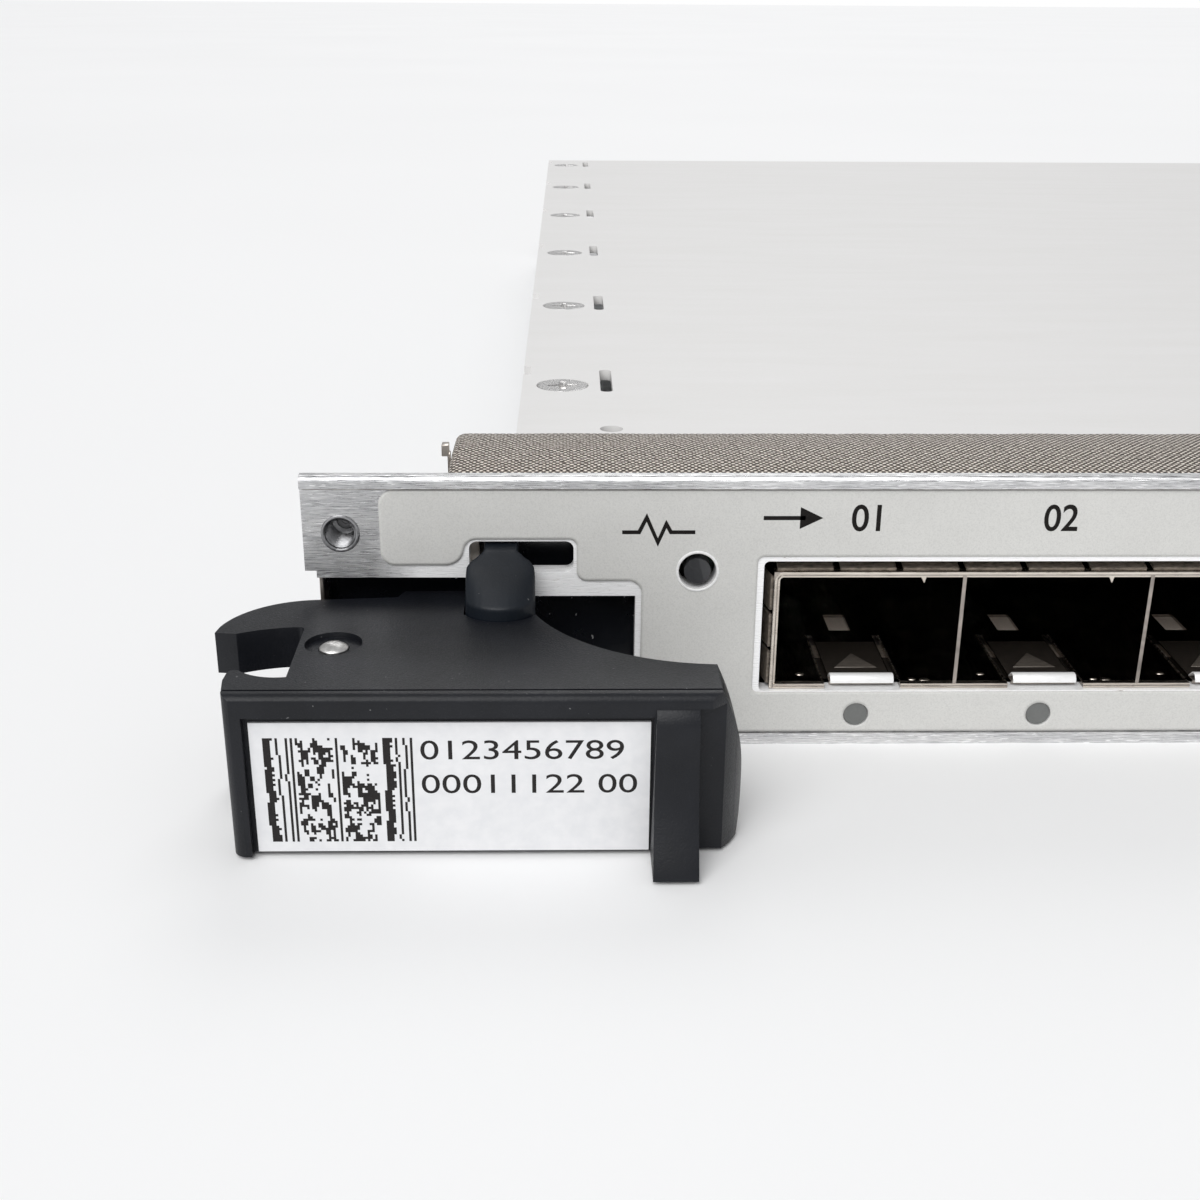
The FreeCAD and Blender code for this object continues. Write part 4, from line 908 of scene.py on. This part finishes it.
# A raised ring round the status lamp, near-white as a painted highlight, and a dark strip at the
# root of the top bead as a painted shadow line.
LAMP_X, LAMP_Z = 29.15, 14.36
rim = turned([(1.415, -0.09), (1.43, -0.15), (1.50, -0.18), (1.58, -0.16), (1.63, -0.09)])
highlight_ring = new_piece("status_lamp_highlight_ring", joined("status_lamp_highlight_ring", [moved(rim, LAMP_X, 0.0, LAMP_Z)]),
                   RIM_PAINTED_HIGHLIGHT, "chassis")
smooth(highlight_ring)
# A dark strip a hair proud of the panel: a painted shadow line under the top bead.
bead_shadow_strip = along_x([(0.0, 20.69), (-0.03, 20.70), (-0.03, 20.81), (0.0, 20.82)], 0.2,
                 PANEL_WIDE / MM - 0.2)
smooth(new_piece("bead_painted_shadow_line", joined("bead_painted_shadow_line", [bead_shadow_strip]), BRONZE_PAINTED_SHADE, "chassis"))


# ------------------------------------------------------------------------ the gasket
END_ROUND = 0.9  # millimetres over which the gasket's ends round off


def fabric_gasket():
    """Foam-filled sleeve: softly rounded, slightly uneven, with tucked-in ends."""
    rng = random.Random(12)
    base, front, back = 19.6, 2.8, 12.2
    shape = [(front, 0.0), (front, 0.95), (front + 0.12, 1.25), (front + 0.5, 1.55),
             (front + 1.4, 1.74), (front + 2.4, 1.90), (front + 3.4, 2.03), (front + 4.4, 2.14),
             (front + 5.6, 2.19), (front + 7.0, 2.16), (front + 8.2, 2.09), (back - 0.3, 2.0),
             (back, 1.75), (back, 0.0)]
    x0, x1 = 10.5, flip(10.5)
    places = [0.0, 0.12, 0.3, 0.55, 0.9]
    inner = [2.0 + 1.9 * n for n in range(int((x1 - x0 - 4.0) / 1.9) + 1)]
    spots = places + inner + [x1 - x0 - place for place in reversed(places)]
    rings = []
    for spot in spots:
        edge = min(spot, x1 - x0 - spot)
        tuck = 1 - min(edge, END_ROUND) / END_ROUND
        fullness = min(1.0, 0.62 + 0.38 * math.sqrt(max(0.0, 1 - tuck ** 2)))
        dip = rng.uniform(0.0, 0.05) if edge > 1 else 0.02
        rings.append([(x0 + spot, y + (0.15 if z < 0.01 and y < 3 else 0.0),
                       base + max(0.0, z * fullness - dip * (z > 1.5))) for y, z in shape])
    obj = new_piece("fabric_gasket", joined("fabric_gasket", [loft(rings)]), FABRIC, "chassis")
    smooth(obj, 50)
    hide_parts("emi_gasket")


fabric_gasket()


# ---------------------------------------------------------------- cage mouths, tongues
def arch(x0, x1, low, top, radius, inset, steps=8):
    """An upside-down U through X-Z points, with rounded upper corners."""
    a, b, high, turn_radius = x0 + inset, x1 - inset, top - inset, max(radius - inset, 0.05)
    points = [(a, low)]
    for start, centre in ((math.pi, (a + turn_radius, high - turn_radius)),
                          (math.pi / 2, (b - turn_radius, high - turn_radius))):
        for step in range(steps + 1):
            angle = start - math.pi / 2 * step / steps
            points.append((centre[0] + turn_radius * math.cos(angle),
                           centre[1] + turn_radius * math.sin(angle)))
    return points + [(b, low)]


def cage_part(name, parts, material):
    """A tinned detail of a cage or its frame, as one visible piece."""
    return new_piece(name, joined(name, parts), material, "chassis")


def cage_mouth(side):
    """The doubled lip round a cage's mouth, and the front edge of its floor."""
    middles = port_middles(side)
    x0 = min(middles) - PORT_PITCH / 2 - CAGE_WALL / 2
    x1 = max(middles) + PORT_PITCH / 2 + CAGE_WALL / 2
    parts = []
    for outer, inner, front in ((0.0, 0.22, CAGE_FRONT - 0.02), (0.27, 0.46, CAGE_FRONT + 0.06)):
        rim = arch(x0, x1, CAGE_LOW, CAGE_TOP, 0.75, outer)
        rim += arch(x0, x1, CAGE_LOW, CAGE_TOP, 0.75, inner)[::-1]
        parts.append(along_y(rim, front, CAGE_FRONT + 0.9))
    gaps = [middle + way * 2.95 for middle in middles for way in (-1, 1)]
    edges = [x0 + 0.3] + sorted(gaps) + [x1 - 0.3]
    for start, end in zip(edges[0::2], edges[1::2]):
        for low in (CAGE_LOW - 0.02, CAGE_LOW + 0.22):
            parts.append(along_y([(start, low), (end, low), (end, low + 0.17), (start, low + 0.17)],
                                 CAGE_FRONT - 0.03, CAGE_FRONT + 0.5))
    smooth_edges(cage_part("cage_mouth_" + side, parts, LIP), 0.05)


def tongue_bar(middle):
    """The rolled front bar of one port's springy latch tongue."""
    bar_line = [(2.0, 4.83), (1.75, 5.05), (1.45, 5.32), (1.15, 5.42), (0.85, 5.36),
                (0.62, 5.10), (0.56, 4.80)]
    return along_x(sheet_strip(bar_line, 0.14), middle - 2.47, middle + 2.47)


def ramp_part(middle):
    """The raised triangular ramp that the module's catch rides over."""
    base, apex = 3.45, 5.9
    corners = [(middle - 1.75, base, 4.80), (middle + 1.75, base, 4.80), (middle, apex, 4.80),
               (middle - 1.6, base + 0.06, 4.88), (middle + 1.6, base + 0.06, 4.88),
               (middle, apex - 0.3, 5.12)]
    return corners, [(0, 1, 4, 3), (1, 2, 5, 4), (2, 0, 3, 5), (3, 4, 5), (0, 2, 1)]


def tongue_sheets(middle):
    """The upper face of the tongue, and the screening strip under its slots, both dark brown as
    painted shade inside the cage.
    """
    sheets = ((2.42, 1.9, 8.6, 4.77, 4.80), (3.1, 2.6, 10.45, 4.26, 4.30))
    return [along_z([(middle - wide, front), (middle + wide, front), (middle + wide, back),
                     (middle - wide, back)], low, high) for wide, front, back, low, high in sheets]


def floor_details(middle):
    """Lances beside the tongue, a stop tooth in the roof and two dimples."""
    parts = []
    for way in (-1, 1):
        x = middle + way * 3.02
        parts.append(along_z([(x - 0.06, 0.9), (x + 0.06, 0.9), (x + 0.06, 9.9), (x - 0.06, 9.9)],
                             4.74, 4.86))
    x = middle + 4.0
    parts.append(([(x - 0.28, 0.45, 13.86), (x + 0.28, 0.45, 13.86), (x + 0.10, 0.5, 13.15),
                   (x - 0.28, 0.75, 13.86), (x + 0.28, 0.75, 13.86), (x + 0.10, 0.7, 13.15)],
                  [(0, 1, 2), (3, 5, 4), (0, 2, 5, 3), (1, 4, 5, 2), (0, 3, 4, 1)]))
    for dx, y, radius in ((4.05, 1.35, 0.34), (5.0, 1.25, 0.46), (-4.6, 2.3, 0.36)):
        rings = []
        for share, lift in ((1.0, 0.0), (0.86, 0.05), (0.55, 0.09), (0.05, 0.10)):
            rings.append([(middle + dx + radius * share * math.cos(math.tau * n / 20),
                           y + 0.6 * radius * share * math.sin(math.tau * n / 20),
                           CAGE_LOW + CAGE_WALL - 0.01 + lift) for n in range(20)])
        parts.append(loft(rings))
    return parts


def landing_pad(middle):
    """The bare pad on the board that shows through the catch window."""
    arc = [(middle + 0.88 * math.cos(math.pi * n / 10), 11.1 + 0.55 * math.sin(math.pi * n / 10))
           for n in range(11)]
    return along_z(arc + [(middle - 0.88, 14.36), (middle + 0.88, 14.36)], 4.5, 4.56)


for side in ("left", "right"):
    middles = port_middles(side)
    cage_mouth(side)
    smooth_edges(cage_part("tongue_bars_" + side, [tongue_bar(middle) for middle in middles],
                           TONGUE_TIN_PAINTED_REFLECTION), 0.05, angle=50)
    smooth_edges(cage_part("catch_ramps_" + side, [ramp_part(middle) for middle in middles],
                           RAMP_PAINTED_SHADE), 0.04)
    smooth(cage_part("tongue_painted_shade_faces_" + side,
                     [part for middle in middles for part in tongue_sheets(middle)], TONGUE_PAINTED_SHADE))
    smooth(cage_part("cage_details_" + side,
                     [part for middle in middles for part in floor_details(middle)], LIP))
    smooth(cage_part("landing_pads_" + side, [landing_pad(middle) for middle in middles], PAD_TIN))

# The frame's folded stop beside each latch.
stops = []
for x0, x1 in ((11.2, 12.86), (flip(12.86), flip(11.2))):
    outline = [(x0, 14.45), (x0 + 0.3, 14.2), (x1 - 0.3, 14.2), (x1, 14.45), (x1, 17.3), (x0, 17.3)]
    stops.append(along_y(outline, 1.6, 2.2))
smooth_edges(cage_part("latch_stops", stops, TINNED), 0.06)

# ------------------------------------------------------------- floor, light, world
SPREAD = 8.0  # metres from the middle to each edge of the floor
floor_mesh = bpy.data.meshes.new("floor")
floor_mesh.from_pydata([(-SPREAD, -SPREAD, 0), (SPREAD, -SPREAD, 0), (SPREAD, SPREAD, 0),
                        (-SPREAD, SPREAD, 0)], [], [(0, 1, 2, 3)])
floor = bpy.data.objects.new("floor", floor_mesh)
bpy.context.scene.collection.objects.link(floor)
pale = Nodes("pale_floor")
pale_cloud = pale.noise((0.004, 0.004, 0.004), 2.0)
pale.set(Base_Color=pale.ramp(pale_cloud, [(0.3, 0.93), (0.7, 0.95)]), Roughness=0.7)
dress(floor, pale.material)

world = bpy.data.worlds.new("studio")
bpy.context.scene.world = world
world.use_nodes = True
nodes, links = world.node_tree.nodes, world.node_tree.links
glow = nodes["Background"]
glow.inputs["Color"].default_value = (0.97, 0.98, 1.0, 1.0)
glow.inputs["Strength"].default_value = 0.38
# Behind the floor's far edge the picture is plain white.
backdrop = nodes.new("ShaderNodeBackground")
backdrop.inputs["Color"].default_value = (1.0, 1.0, 1.0, 1.0)
seen = nodes.new("ShaderNodeLightPath")
blend = nodes.new("ShaderNodeMixShader")
links.new(seen.outputs["Is Camera Ray"], blend.inputs["Fac"])
links.new(glow.outputs[0], blend.inputs[1])
links.new(backdrop.outputs[0], blend.inputs[2])
links.new(blend.outputs[0], nodes["World Output"].inputs["Surface"])


def wide_sun(name, towards, strength, spread):
    """A broad, even light from a direction, softened by its apparent size in degrees."""
    data = bpy.data.lights.new(name, "SUN")
    data.energy = strength
    data.angle = math.radians(spread)
    lamp = bpy.data.objects.new(name, data)
    bpy.context.scene.collection.objects.link(lamp)
    lamp.matrix_world = Vector(towards).to_track_quat("Z", "Y").to_matrix().to_4x4()


wide_sun("key", (-0.25, -0.62, 0.76), 2.15, 50)
wide_sun("window", (0.10, 0.75, 0.65), 0.5, 30)
